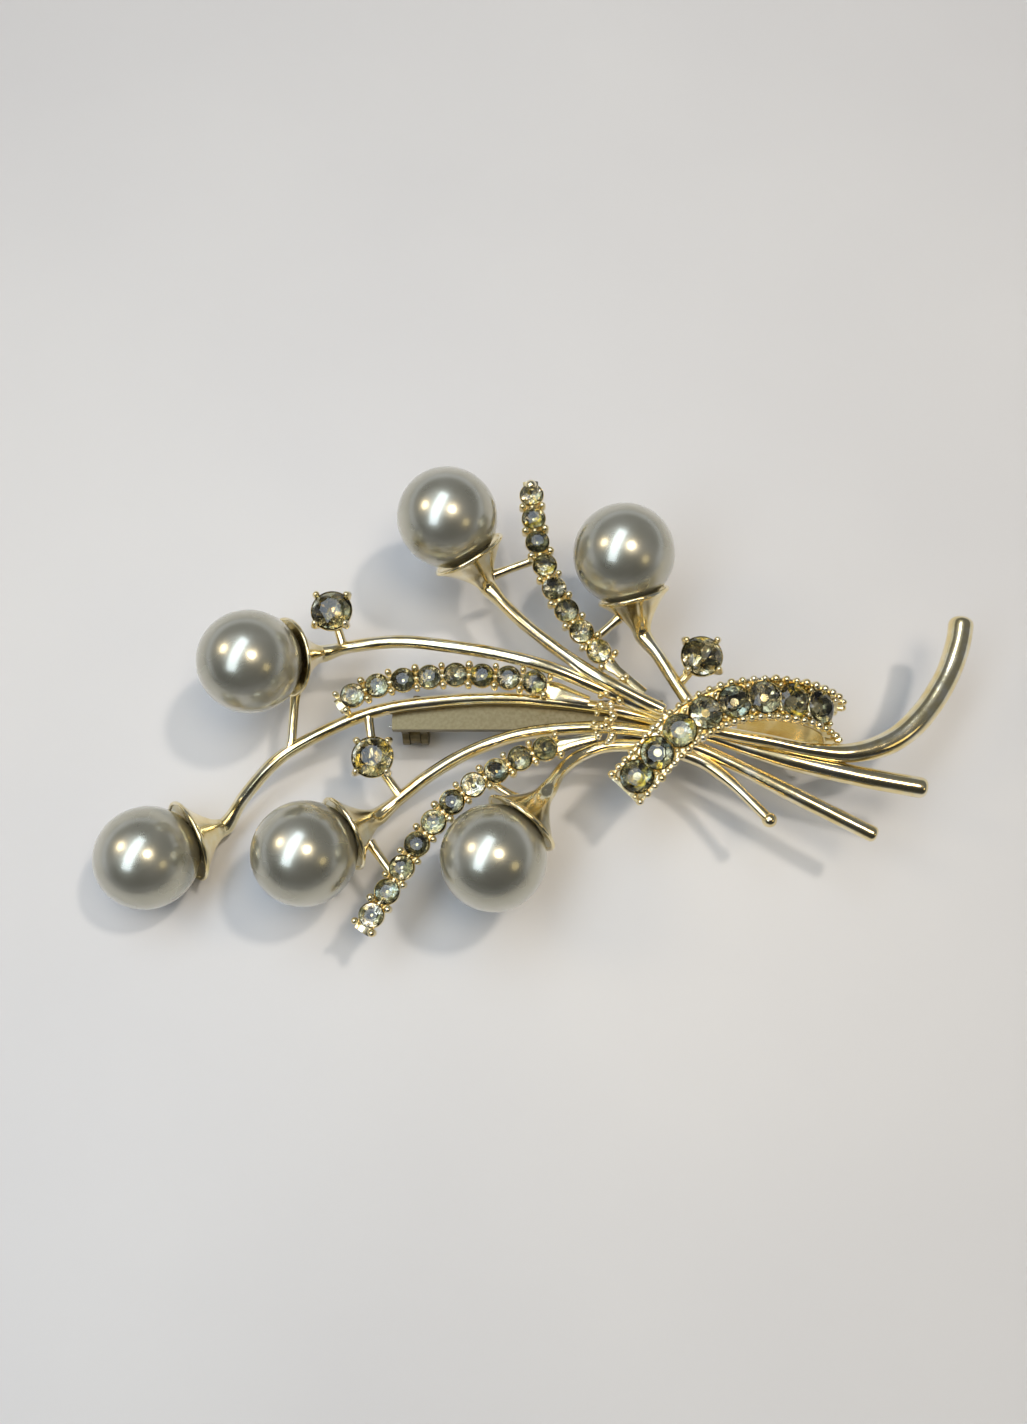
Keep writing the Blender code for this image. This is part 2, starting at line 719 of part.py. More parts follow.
def cheek_outline():
    """A round cheek with a neck up to the bar and a keyhole that opens downwards."""
    top = BAR_UNDERSIDE + BAR_THICKNESS / 2 - PIN_HEIGHT
    bore = DRUM_RADIUS + RUNNING_CLEARANCE
    half_slot = slot_half_width() + SLOT_CLEARANCE / 2
    outer = PIN_HEIGHT
    neck = BAR_WIDTH / 2 - 0.3
    shoulder = math.degrees(math.acos(neck / outer))
    lip = math.degrees(math.asin(half_slot / outer))
    inner_lip = math.degrees(math.asin(half_slot / bore))
    right = arc(outer, shoulder, -90.0 + lip)
    inside = arc(bore, -90.0 + inner_lip, 270.0 - inner_lip)
    left = arc(outer, 270.0 - lip, 180.0 - shoulder)
    return [(-neck, top), (neck, top)] + right + inside + left


def stood_across_y(x, y, z):
    """A frame whose plate lies in the XZ plane, for an ear."""
    return Matrix.Translation(Vector((x, y, z)) * MM) @ Matrix.Rotation(math.radians(90), 4, "X")


def stood_across_x(x, y, z):
    """A frame whose plate lies in the YZ plane, for a cheek or the lock."""
    turn = Matrix.Rotation(math.radians(90), 4, "Z") @ Matrix.Rotation(math.radians(90), 4, "X")
    return Matrix.Translation(Vector((x, y, z)) * MM) @ turn


def make_bar():
    bpy.ops.mesh.primitive_cube_add(size=1.0)
    bar = bpy.context.active_object
    bar.name = "pin_back_bar"
    for group in list(bar.users_collection):
        group.objects.unlink(bar)
    brooch.objects.link(bar)
    bar.parent = centre
    bar.data.transform(Matrix.Diagonal((BAR_LENGTH * MM, BAR_WIDTH * MM, BAR_THICKNESS * MM, 1.0)))
    bar.location = Vector((BAR_CENTRE_X, BAR_CENTRE_Y, BAR_UNDERSIDE + BAR_THICKNESS / 2)) * MM
    bar.data.materials.append(gold)

    ear_offset = EYE_WIDTH / 2 + SIDE_CLEARANCE + EAR_THICKNESS / 2
    hole = circle(RIVET_RADIUS + RUNNING_CLEARANCE)
    for side in (-1, 1):
        ear = plate(f"ear_shape_{side}", [ear_outline(), hole], EAR_THICKNESS, cutters)
        ear.matrix_basis = stood_across_y(hinge_x(), BAR_CENTRE_Y + side * ear_offset, PIN_HEIGHT)
        combine(bar, to_mesh(ear, cutters), "UNION")

    cheek_offset = DRUM_FLANGE_LENGTH / 2 + SIDE_CLEARANCE + CHEEK_THICKNESS / 2
    for side in (-1, 1):
        cheek = plate(f"cheek_shape_{side}", [cheek_outline()], CHEEK_THICKNESS, cutters)
        cheek.matrix_basis = stood_across_x(catch_x() + side * cheek_offset, BAR_CENTRE_Y, PIN_HEIGHT)
        combine(bar, to_mesh(cheek, cutters), "UNION")


def make_rivet():
    reach = EYE_WIDTH / 2 + SIDE_CLEARANCE + EAR_THICKNESS + RUNNING_CLEARANCE
    end = reach + RIVET_HEAD_THICKNESS
    half = [(0.0, end), (0.75 * RIVET_HEAD_RADIUS, end), (RIVET_HEAD_RADIUS, end - 0.3 * RIVET_HEAD_THICKNESS)]
    half += [(RIVET_HEAD_RADIUS, reach), (RIVET_RADIUS, reach)]
    profile = half + [(radius, -height) for radius, height in reversed(half)]
    rivet = turned("hinge_rivet", profile, 16, gold)
    rivet.matrix_basis = stood_across_y(hinge_x(), BAR_CENTRE_Y, PIN_HEIGHT)
    shade(rivet.data)


def make_pin():
    eye_hole = RIVET_RADIUS + RUNNING_CLEARANCE
    half = EYE_WIDTH / 2
    profile = [(eye_hole, -half), (eye_hole, half), (EYE_RADIUS, half), (EYE_RADIUS, -half)]
    eye = turned("eye_shape", profile, 20, None, cutters, closed=True)
    eye.matrix_basis = Matrix.Rotation(math.radians(90), 4, "X")
    reach = hinge_x() - catch_x() + DRUM_FLANGE_LENGTH / 2 + CHEEK_THICKNESS + PIN_OVERHANG
    start = (eye_hole + EYE_RADIUS) / 2
    point_length = 3.5
    stations = [start, 6.0, 12.0, 18.0, reach - point_length, reach - 0.5 * point_length, reach]
    radii = [1.0, 1.0, 1.0, 1.0, 1.0, 0.7, 0.2]
    shape = bpy.data.curves.new("pin_stem", "CURVE")
    shape.dimensions = "3D"
    shape.bevel_depth = PIN_RADIUS * MM
    shape.bevel_resolution = 2
    shape.use_fill_caps = True
    spline = shape.splines.new("POLY")
    spline.points.add(len(stations) - 1)
    for spot, station, radius in zip(spline.points, stations, radii):
        spot.co = (-station * MM, 0.0, 0.0, 1.0)
        spot.radius = radius
    pin = to_mesh(add_object("pin_stem", shape, pin_steel), brooch)
    place = Vector((hinge_x(), BAR_CENTRE_Y, PIN_HEIGHT)) * MM
    pin.location = place
    eye.matrix_basis = Matrix.Translation(place) @ eye.matrix_basis
    combine(pin, eye, "UNION")
    shade(pin.data)


def make_lock():
    half = DRUM_FLANGE_LENGTH / 2
    end = half + SIDE_CLEARANCE + CHEEK_THICKNESS + SIDE_CLEARANCE
    profile = [(0.0, end), (DRUM_RADIUS, end), (DRUM_RADIUS, half), (DRUM_FLANGE_RADIUS, half)]
    profile += [(radius, -height) for radius, height in reversed(profile)]
    lock = turned("safety_lock", profile, 24, gold)
    lock.matrix_basis = stood_across_x(catch_x(), BAR_CENTRE_Y, PIN_HEIGHT)
    frame = lock.matrix_basis
    lever_ends = [frame @ (Vector((x, 0.0, 0.0)) * MM) for x in (DRUM_RADIUS, LEVER_LENGTH)]
    combine(lock, rods("lever_shape", [lever_ends], LEVER_RADIUS), "UNION")
    cut = plate("lock_slot", [keyhole(slot_half_width() + 0.02, slot_half_width(), 3.0)], 3 * end, cutters)
    cut.matrix_basis = frame
    combine(lock, to_mesh(cut, cutters), "DIFFERENCE")
    shade(lock.data)


def centre_on_origin():
    """Moves the whole brooch so that its box is centred on the origin and stands on z = 0."""
    bpy.context.view_layer.update()
    graph = bpy.context.evaluated_depsgraph_get()
    corners = []
    for obj in brooch.objects:
        if obj.type == "MESH":
            mesh = obj.evaluated_get(graph).to_mesh()
            corners += [obj.matrix_world @ vertex.co for vertex in mesh.vertices]
    low = Vector([min(corner[axis] for corner in corners) for axis in range(3)])
    high = Vector([max(corner[axis] for corner in corners) for axis in range(3)])
    middle = (low + high) / 2
    centre.location = (-middle.x, -middle.y, -low.z)
    bpy.context.view_layer.update()
    size = (high - low) / MM
    print(f"size {size.x:.2f} x {size.y:.2f} x {size.z:.2f} mm, moved by {tuple(centre.location / MM)} mm")


make_stems_and_pearls()
make_sprigs()
make_ribbon()
make_singles()
make_bar()
make_rivet()
make_pin()
make_lock()
centre_on_origin()
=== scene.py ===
# %% [markdown]
# # A spray brooch with grey pearls
#
# A spray is a bunch of wire stems tied in a knot. Here six stems carry imitation pearls, three sprigs and a
# ribbon are set with small smoky stones, and everything is plated in pale gold. We start from the packed
# solids, which say exactly where each piece goes, and give each piece its jeweller's detail.

# %% Load the frame
import math
import random

import bmesh
import bpy
from mathutils import Matrix, Vector
from mathutils.geometry import interpolate_bezier


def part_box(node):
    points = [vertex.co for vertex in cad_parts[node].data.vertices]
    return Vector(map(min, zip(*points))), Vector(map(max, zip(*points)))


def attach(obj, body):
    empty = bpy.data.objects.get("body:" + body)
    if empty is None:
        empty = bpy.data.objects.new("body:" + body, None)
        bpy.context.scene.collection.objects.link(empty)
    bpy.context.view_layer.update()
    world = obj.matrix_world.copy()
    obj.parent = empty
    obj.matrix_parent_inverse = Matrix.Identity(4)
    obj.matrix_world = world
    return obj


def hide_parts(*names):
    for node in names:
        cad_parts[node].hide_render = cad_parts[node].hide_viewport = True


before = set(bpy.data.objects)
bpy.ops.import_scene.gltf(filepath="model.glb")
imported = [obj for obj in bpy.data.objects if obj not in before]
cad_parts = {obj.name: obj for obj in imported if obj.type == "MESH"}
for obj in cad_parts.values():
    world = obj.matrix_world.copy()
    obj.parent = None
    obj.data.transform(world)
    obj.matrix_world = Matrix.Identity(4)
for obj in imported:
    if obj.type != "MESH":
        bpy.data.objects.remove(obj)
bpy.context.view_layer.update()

MM = 0.001

# %% [markdown]
# The drawing was made round its own origin, and the solids were then centred. The first pearl is round, so
# the middle of its box is its centre, and the step from its drawn centre moves every other point as well.

# %% Where the drawing lies
FIRST_PEARL = Vector((-36.9, -14.9, 5.9)) * MM
low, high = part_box("pearl_1")
shift = (low + high) / 2 - FIRST_PEARL
shift.z = 0.0


def spot(place):
    """A drawn point in millimetres as a place in the frame, in metres."""
    return Vector(place) * MM + shift


print("drawing moved by", [round(value / MM, 3) for value in shift], "mm")

# %% [markdown]
# ## Helpers
#
# A material or a Geometry Nodes tree is a list of nodes with settings and links, so one helper that adds a
# node with both is enough for all of them. Colours are written as sRGB, as a paint chart gives them, and
# turned to linear light once.

# %% Nodes and colours
def add(tree, kind, settings=None, inputs=None, stops=()):
    """Adds a node. Each input takes a value, or the output of another node. Stops are (position, sRGB hex)."""
    made = tree.nodes.new(kind)
    for name, value in (settings or {}).items():
        setattr(made, name, value)
    for socket, value in (inputs or {}).items():
        if isinstance(value, bpy.types.NodeSocket):
            tree.links.new(value, made.inputs[socket])
        else:
            made.inputs[socket].default_value = value
    for index, (position, text) in enumerate(stops):
        elements = made.color_ramp.elements
        element = elements[index] if index < len(elements) else elements.new(position)
        element.position = position
        element.color = colour(text)
    return made


def colour(text):
    """An sRGB hex colour as linear red, green, blue and alpha."""
    values = [int(text[i : i + 2], 16) / 255 for i in (0, 2, 4)]
    return (*[v / 12.92 if v <= 0.04045 else ((v + 0.055) / 1.055) ** 2.4 for v in values], 1.0)


def new_material(name, values):
    """A material, with what is the same all over the surface set on its shader."""
    material = bpy.data.materials.new(name)
    material.use_nodes = True
    shader = material.node_tree.nodes["Principled BSDF"]
    for socket, value in values.items():
        shader.inputs[socket].default_value = value
    return material, material.node_tree, shader


def varied_by(pattern, tree, shader, tones=(), roughness=()):
    """Lets a pattern choose the base colour among tones, or the roughness between two values, or both."""
    if tones:
        tone = add(tree, "ShaderNodeValToRGB", inputs={"Fac": pattern}, stops=tones)
        tree.links.new(tone.outputs["Color"], shader.inputs["Base Color"])
    if roughness:
        span = {"Value": pattern, "From Min": 0.3, "From Max": 0.7, "To Min": roughness[0], "To Max": roughness[1]}
        rough = add(tree, "ShaderNodeMapRange", inputs=span)
        tree.links.new(rough.outputs["Result"], shader.inputs["Roughness"])


print("middle grey is", round(colour("808080")[0], 3), "in linear light")

# %% [markdown]
# ## Finishes
#
# The metal is a zinc alloy casting, polished and plated with a thin layer of pale, almost champagne gold.
# Plating hides the grain of the casting but not its slow waves, so highlights on a round stem wander a
# little. A metal's colour is its reflection, so the base colour is pale and the darks come from the room.

# %% Pale gold plate
CAST_WAVE = 1.6 * MM
# Real polishing lines are ten times finer and wouldn't show. This size still breaks up a highlight's edge.
POLISH_SCRATCH = 0.12 * MM

gold, tree, shader = new_material("pale_gold_plate", {"Metallic": 1.0})
place = add(tree, "ShaderNodeTexCoord").outputs["Object"]
wave = add(tree, "ShaderNodeTexNoise", inputs={"Vector": place, "Scale": 1 / CAST_WAVE, "Detail": 2.0})
scratch = add(tree, "ShaderNodeTexNoise", inputs={"Vector": place, "Scale": 1 / POLISH_SCRATCH, "Detail": 3.0})
varied_by(wave.outputs["Fac"], tree, shader, [(0.3, "F2DDA2"), (0.5, "F8E8B8"), (0.72, "FDF4D8")])
varied_by(scratch.outputs["Fac"], tree, shader, roughness=(0.1, 0.2))
waves = add(
    tree, "ShaderNodeBump", inputs={"Height": wave.outputs["Fac"], "Strength": 0.35, "Distance": 0.08 * MM}
)
fine = add(
    tree,
    "ShaderNodeBump",
    inputs={
        "Height": scratch.outputs["Fac"],
        "Strength": 0.12,
        "Distance": 0.01 * MM,
        "Normal": waves.outputs["Normal"],
    },
)
tree.links.new(fine.outputs["Normal"], shader.inputs["Normal"])
print("made", gold.name)

# %% [markdown]
# The pin back is plated in the same bath but never polished, so it is duller. Its dark brown colour is
# painted shade, as it lies in the shade under the stems. It could share the polished plate with more
# roughness, but a stamping has an even grain in place of slow waves.

# %% Unpolished plate, darkened as painted shade
STAMP_GRAIN = 0.35 * MM

shade_painted_dull_gold, tree, shader = new_material("unpolished_plate_painted_shade", {"Metallic": 1.0})
place = add(tree, "ShaderNodeTexCoord").outputs["Object"]
grain = add(tree, "ShaderNodeTexNoise", inputs={"Vector": place, "Scale": 1 / STAMP_GRAIN, "Detail": 3.0})
# Painted shade: the base colour is a dark brown, as the pin back looks in the shade of the stems over it.
varied_by(grain.outputs["Fac"], tree, shader, [(0.35, "6E6449"), (0.65, "7E7459")], (0.34, 0.46))
print("made", shade_painted_dull_gold.name)

# %% [markdown]
# An imitation pearl is a plastic bead dipped many times in a lacquer with fine mica flakes. The flakes lie
# flat round the bead, so it shines like a soft metal under a clear, sharper gloss. Subsurface light would
# suit a real pearl, but a high metallic share, a middling roughness and a smooth coat give this lacquer's
# two highlights, a wide one and a sharp one. The lacquer runs a little, which the slow noise shows.

# %% Grey pearl lacquer
LACQUER_RUN = 3.5 * MM

coats = {"Metallic": 0.8, "Coat Weight": 1.0, "Coat Roughness": 0.1, "Coat IOR": 1.7}
pearl_lacquer, tree, shader = new_material("grey_pearl_lacquer", coats)
place = add(tree, "ShaderNodeTexCoord").outputs["Object"]
run = add(tree, "ShaderNodeTexNoise", inputs={"Vector": place, "Scale": 1 / LACQUER_RUN, "Detail": 1.0})
tones = [(0.3, "B1AE9B"), (0.5, "BBB8A5"), (0.7, "C5C2B1")]
varied_by(run.outputs["Fac"], tree, shader, tones, (0.26, 0.31))
bump = add(
    tree, "ShaderNodeBump", inputs={"Height": run.outputs["Fac"], "Strength": 0.1, "Distance": 0.05 * MM}
)
tree.links.new(bump.outputs["Normal"], shader.inputs["Normal"])
print("made", pearl_lacquer.name)

# %% [markdown]
# The stones are smoky paste: cut glass with a foil behind it. Light goes in through the crown, is tinted,
# meets the foil on the lower facets and comes out again, which makes the glints. So the crown is real
# glass with a tint, and the lower facets are dull silver foil. The foil's colour is painted reflection:
# each cell is painted dark, light or white, and a few yellow or blue, as painted glints of the room.

# %% Smoky paste
MELT_CLOUD = 2.4 * MM

clear = {"Roughness": 0.02, "IOR": 1.54, "Transmission Weight": 1.0}
paste, tree, shader = new_material("smoky_paste_glass", clear)
place = add(tree, "ShaderNodeTexCoord").outputs["Object"]
cloud = add(tree, "ShaderNodeTexNoise", inputs={"Vector": place, "Scale": 1 / MELT_CLOUD, "Detail": 1.0})
varied_by(cloud.outputs["Fac"], tree, shader, [(0.35, "D9D5BC"), (0.65, "E9E5D1")])
print("made", paste.name)

# %% Foil
GLINT = 0.95 * MM

glint_painted_foil, tree, shader = new_material("foil_painted_glints", {"Metallic": 1.0, "Roughness": 0.18})
place = add(tree, "ShaderNodeTexCoord").outputs["Object"]
# Painted reflections and glints: each Voronoi cell of the foil is painted its own tone, from dark to white, with a
# few yellow and blue glints.
glint_cells = add(tree, "ShaderNodeTexVoronoi", inputs={"Vector": place, "Scale": 1 / GLINT})
split = add(tree, "ShaderNodeSeparateColor", inputs={"Color": glint_cells.outputs["Color"]})
tones = [
    (0.0, "545244"), (0.2, "8C8A74"), (0.43, "B6B49F"), (0.6, "DDDCCC"), (0.72, "FFFFFF"),
    (0.92, "F4E07A"), (0.97, "CFE3F2"),
]
tone = add(tree, "ShaderNodeValToRGB", inputs={"Fac": split.outputs["Red"]}, stops=tones)
tone.color_ramp.interpolation = "CONSTANT"
tree.links.new(tone.outputs["Color"], shader.inputs["Base Color"])
print("made", glint_painted_foil.name)

# %% [markdown]
# The pin is drawn steel wire, left bright. Drawing leaves fine lines along the wire, so its noise is
# stretched along X, the way that the pin lies.

# %% Drawn steel
# Coarser than real drawing lines, which are too fine to show.
DRAWING_LINE = 0.1 * MM

steel, tree, shader = new_material("bright_drawn_steel", {"Metallic": 1.0})
place = add(tree, "ShaderNodeTexCoord").outputs["Object"]
along = add(tree, "ShaderNodeMapping", inputs={"Vector": place, "Scale": (0.06, 1.0, 1.0)})
lines = add(
    tree,
    "ShaderNodeTexNoise",
    inputs={"Vector": along.outputs["Vector"], "Scale": 1 / DRAWING_LINE, "Detail": 2.0},
)
varied_by(lines.outputs["Fac"], tree, shader, [(0.35, "B4B1AA"), (0.65, "D6D4CE")], (0.16, 0.34))
bump = add(
    tree, "ShaderNodeBump", inputs={"Height": lines.outputs["Fac"], "Strength": 0.15, "Distance": 0.01 * MM}
)
tree.links.new(bump.outputs["Normal"], shader.inputs["Normal"])
print("made", steel.name)

# %% [markdown]
# ## Paths
#
# Every long piece follows a smooth line through a few drawn points. A curve object would do it, but its
# thickness, width and turns are wanted at exact distances. So a path gives a place at any distance along it,
# and a frame there: along the piece, across it and out of its face.

# %% A path
SPAN_SAMPLES = 14
DIRECTION_REACH = 0.4 * MM


def smooth_through(places):
    """Points of a curve that passes through every place, each span turned by its neighbours."""
    ends = [places[0], *places, places[-1]]
    points = [places[0]]
    for before, start, end, after in zip(ends, ends[1:], ends[2:], ends[3:]):
        reach = (end - start).length / 3
        handle_out = start + (end - before).normalized() * reach
        handle_in = end - (after - start).normalized() * reach
        points.extend(interpolate_bezier(start, handle_out, handle_in, end, SPAN_SAMPLES)[1:])
    return points


class Path:
    """A smooth line read by the distance along it, with a width direction."""

    def __init__(self, places, widths=None):
        self.points = smooth_through(places)
        self.widths = smooth_through(widths) if widths else None
        self.lengths = [0.0]
        for before, after in zip(self.points, self.points[1:]):
            self.lengths.append(self.lengths[-1] + (after - before).length)
        self.length = self.lengths[-1]

    def locate(self, distance):
        distance = min(max(distance, 0.0), self.length)
        index = 0
        while index < len(self.points) - 2 and self.lengths[index + 1] < distance:
            index += 1
        return index, (distance - self.lengths[index]) / (self.lengths[index + 1] - self.lengths[index])

    def at(self, distance):
        index, share = self.locate(distance)
        return self.points[index].lerp(self.points[index + 1], share)

    def frame(self, distance):
        ahead, behind = self.at(distance + DIRECTION_REACH), self.at(distance - DIRECTION_REACH)
        along = (ahead - behind).normalized()
        across = Vector((-along.y, along.x, 0.0))
        if self.widths:
            index, share = self.locate(distance)
            across = self.widths[index].lerp(self.widths[index + 1], share)
        across = (across - along * across.dot(along)).normalized()
        turn = Matrix((along, across, along.cross(across))).transposed().to_4x4()
        return Matrix.Translation(self.at(distance)) @ turn


straight = Path([Vector((0.0, 0.0, 0.0)), Vector((1.0, 0.0, 0.0))])
print("a path through two points one metre apart is", straight.length, "m long")

# %% [markdown]
# Pieces are gathered as vertices and faces in one builder, so that a stem, its cup and its links become a
# single mesh. The builder can turn a profile on an axis, sweep an outline along frames, and take in a mesh
# that Geometry Nodes made.

# %% A mesh builder
class Builder:
    def __init__(self):
        self.mesh = bmesh.new()

    def turned(self, profile, steps, where):
        """A closed profile of (radius, height) in mm, from axis to axis, turned about Z and put on a frame."""
        rings = []
        for radius, height in profile:
            count = 1 if radius < 1e-6 else steps
            angles = [2 * math.pi * i / steps for i in range(count)]
            ring = [Vector((radius * math.cos(a), radius * math.sin(a), height)) for a in angles]
            rings.append([self.mesh.verts.new(where @ (corner * MM)) for corner in ring])
        self.join_rings(rings, steps)

    def join_rings(self, rings, steps):
        for lower, upper in zip(rings, rings[1:]):
            for i in range(steps):
                corners = [lower[i % len(lower)], lower[(i + 1) % len(lower)]]
                corners += [upper[(i + 1) % len(upper)], upper[i % len(upper)]]
                unique = list(dict.fromkeys(corners))
                if len(unique) > 2:
                    self.mesh.faces.new(unique)

    def swept(self, frames, outlines):
        """A closed outline of (across, outwards) in metres at each frame, with flat ends."""
        rings = []
        for here, outline in zip(frames, outlines):
            rings.append([self.mesh.verts.new(here @ Vector((0.0, y, z))) for y, z in outline])
        self.join_rings(rings, len(rings[0]))
        self.mesh.faces.new(list(reversed(rings[0])))
        self.mesh.faces.new(rings[-1])

    def ball(self, centre, radius):
        """A ball with its radius in mm."""
        angles = [math.pi * i / 8 for i in range(9)]
        profile = [(radius * math.sin(a), -radius * math.cos(a)) for a in angles]
        self.turned(profile, 16, Matrix.Translation(centre))

    def take(self, mesh):
        self.mesh.from_mesh(mesh)
        bpy.data.meshes.remove(mesh)

    def finish(self, name, material, slot, stands_for=(), sharp=40.0):
        """Makes the piece, points its faces outwards and hands it to the frame."""
        bmesh.ops.recalc_face_normals(self.mesh, faces=self.mesh.faces)
        data = bpy.data.meshes.new(name)
        self.mesh.to_mesh(data)
        self.mesh.free()
        data.materials.clear()
        data.materials.append(material)
        data.shade_smooth()
        data.set_sharp_from_angle(angle=math.radians(sharp))
        return hand_over(name, data, stands_for)


def into_scene(name, data):
    """An object for a mesh, a lamp or a camera, linked into the scene."""
    made = bpy.data.objects.new(name, data)
    bpy.context.scene.collection.objects.link(made)
    return made


def hand_over(name, data, stands_for=()):
    """Places a finished mesh in the scene, hangs it on the spray's body and hides the solids that it stands for.
    """
    piece = into_scene(name, data)
    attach(piece, "spray")
    if stands_for:
        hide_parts(*stands_for)
    return piece


trial = Builder()
trial.ball(Vector((0.0, 0.0, 0.0)), 1.0)
print("a ball has", len(trial.mesh.faces), "faces")
trial.mesh.free()

# %% [markdown]
# Geometry Nodes do two jobs here. One tree turns a line of points with a thickness at each into a round
# wire. The other stands a copy of a shape on every point, turned by two directions that the point carries.
# Both end by making the copies real and giving them their material. Plain loops could do both, but a tree
# keeps its sizes as named inputs, and its copies can be varied by one seed.

# %% Running a tree
def start_tree(name, sockets):
    """A new tree with named inputs, and the outputs of its input node."""
    tree = bpy.data.node_groups.new(name, "GeometryNodeTree")
    tree.interface.new_socket("Geometry", in_out="INPUT", socket_type="NodeSocketGeometry")
    for label, kind in sockets:
        tree.interface.new_socket(label, in_out="INPUT", socket_type=kind)
    tree.interface.new_socket("Geometry", in_out="OUTPUT", socket_type="NodeSocketGeometry")
    return tree, add(tree, "NodeGroupInput").outputs


def end_tree(tree, geometry, material, back_material=None):
    real = add(tree, "GeometryNodeRealizeInstances", inputs={"Geometry": geometry}).outputs[0]
    front = add(tree, "GeometryNodeSetMaterial", inputs={"Geometry": real, "Material": material}).outputs[0]
    if back_material is not None:
        backs = add(tree, "GeometryNodeInputNamedAttribute", {"data_type": "BOOLEAN"}, {"Name": "back"})
        front = add(
            tree,
            "GeometryNodeSetMaterial",
            inputs={"Geometry": front, "Selection": backs.outputs["Attribute"], "Material": back_material},
        ).outputs[0]
    add(tree, "NodeGroupOutput", inputs={"Geometry": front})


def grown(base, tree, values):
    """Runs a tree on a base object and returns the result as a plain mesh."""
    modifier = base.modifiers.new(tree.name, "NODES")
    modifier.node_group = tree
    for item in tree.interface.items_tree:
        if item.in_out == "INPUT" and item.name in values:
            modifier[item.identifier] = values[item.name]
    bpy.context.view_layer.update()
    result = bpy.data.meshes.new_from_object(base.evaluated_get(bpy.context.evaluated_depsgraph_get()))
    base.modifiers.remove(modifier)
    bpy.data.objects.remove(base, do_unlink=True)
    return result


print("a tree ends in Realize Instances and Set Material")

# %% The wire tree
wire_tree, given = start_tree("drawn_wire", [("Sides", "NodeSocketInt"), ("Finish", "NodeSocketMaterial")])
line = add(wire_tree, "GeometryNodeMeshToCurve", inputs={"Mesh": given["Geometry"]}).outputs[0]
thickness = add(wire_tree, "GeometryNodeInputNamedAttribute", {"data_type": "FLOAT"}, {"Name": "thickness"})
section = add(
    wire_tree, "GeometryNodeCurvePrimitiveCircle", inputs={"Resolution": given["Sides"], "Radius": 1.0}
)
swept_wire = add(
    wire_tree,
    "GeometryNodeCurveToMesh",
    inputs={
        "Curve": line,
        "Profile Curve": section.outputs["Curve"],
        "Scale": thickness.outputs["Attribute"],
        "Fill Caps": True,
    },
)
end_tree(wire_tree, swept_wire.outputs["Mesh"], given["Finish"])
print("made", wire_tree.name, "with", len(wire_tree.nodes), "nodes")

# %% The tree that stands copies on points
stand_tree, given = start_tree(
    "stand_on_points",
    [
        ("Shape", "NodeSocketObject"),
        ("Size", "NodeSocketFloat"),
        ("Unevenness", "NodeSocketFloat"),
        ("Seed", "NodeSocketInt"),
        ("Finish", "NodeSocketMaterial"),
        ("Back finish", "NodeSocketMaterial"),
    ],
)
along = add(stand_tree, "GeometryNodeInputNamedAttribute", {"data_type": "FLOAT_VECTOR"}, {"Name": "along"})
across = add(stand_tree, "GeometryNodeInputNamedAttribute", {"data_type": "FLOAT_VECTOR"}, {"Name": "across"})
turn = add(
    stand_tree,
    "FunctionNodeAxesToRotation",
    {"primary_axis": "X", "secondary_axis": "Y"},
    {"Primary Axis": along.outputs["Attribute"], "Secondary Axis": across.outputs["Attribute"]},
)
least = add(stand_tree, "ShaderNodeMath", {"operation": "SUBTRACT"}, {0: 1.0, 1: given["Unevenness"]})
most = add(stand_tree, "ShaderNodeMath", {"operation": "ADD"}, {0: 1.0, 1: given["Unevenness"]})
varied = add(
    stand_tree,
    "FunctionNodeRandomValue",
    {"data_type": "FLOAT"},
    {"Min": least.outputs[0], "Max": most.outputs[0], "Seed": given["Seed"]},
)
size = add(
    stand_tree, "ShaderNodeMath", {"operation": "MULTIPLY"}, {0: given["Size"], 1: varied.outputs["Value"]}
)
shape = add(stand_tree, "GeometryNodeObjectInfo", inputs={"Object": given["Shape"]})
copies = add(
    stand_tree,
    "GeometryNodeInstanceOnPoints",
    inputs={
        "Points": given["Geometry"],
        "Instance": shape.outputs["Geometry"],
        "Rotation": turn.outputs["Rotation"],
        "Scale": size.outputs[0],
    },
)
end_tree(stand_tree, copies.outputs["Instances"], given["Finish"], given["Back finish"])
print("made", stand_tree.name, "with", len(stand_tree.nodes), "nodes")


# %% Bases for the two trees
def line_object(lines):
    """An object of separate lines. Each line is a list of (place, thickness)."""
    data = bpy.data.meshes.new("lines")
    places, edges, sizes = [], [], []
    for line_points in lines:
        start = len(places)
        places += [place for place, _ in line_points]
        sizes += [thickness for _, thickness in line_points]
        edges += [(start + i, start + i + 1) for i in range(len(line_points) - 1)]
    data.from_pydata(places, edges, [])
    data.attributes.new("thickness", "FLOAT", "POINT").data.foreach_set("value", sizes)
    return into_scene("lines", data)


def points_object(frames):
    """An object with a vertex on each frame, which keeps the frame's two first directions."""
    data = bpy.data.meshes.new("points")
    data.from_pydata([here.translation for here in frames], [], [])
    for column, label in enumerate(("along", "across")):
        values = [value for here in frames for value in here.col[column][:3]]
        data.attributes.new(label, "FLOAT_VECTOR", "POINT").data.foreach_set("vector", values)
    return into_scene("points", data)


def wires(lines, sides=20):
    return grown(line_object(lines), wire_tree, {"Sides": sides, "Finish": gold})


def stand(frames, shape_object, size, finish, back=None, unevenness=0.0, seed=1):
    values = {"Shape": shape_object, "Size": size, "Unevenness": unevenness, "Seed": seed}
    values |= {"Finish": finish, "Back finish": back or finish}
    return grown(points_object(frames), stand_tree, values)


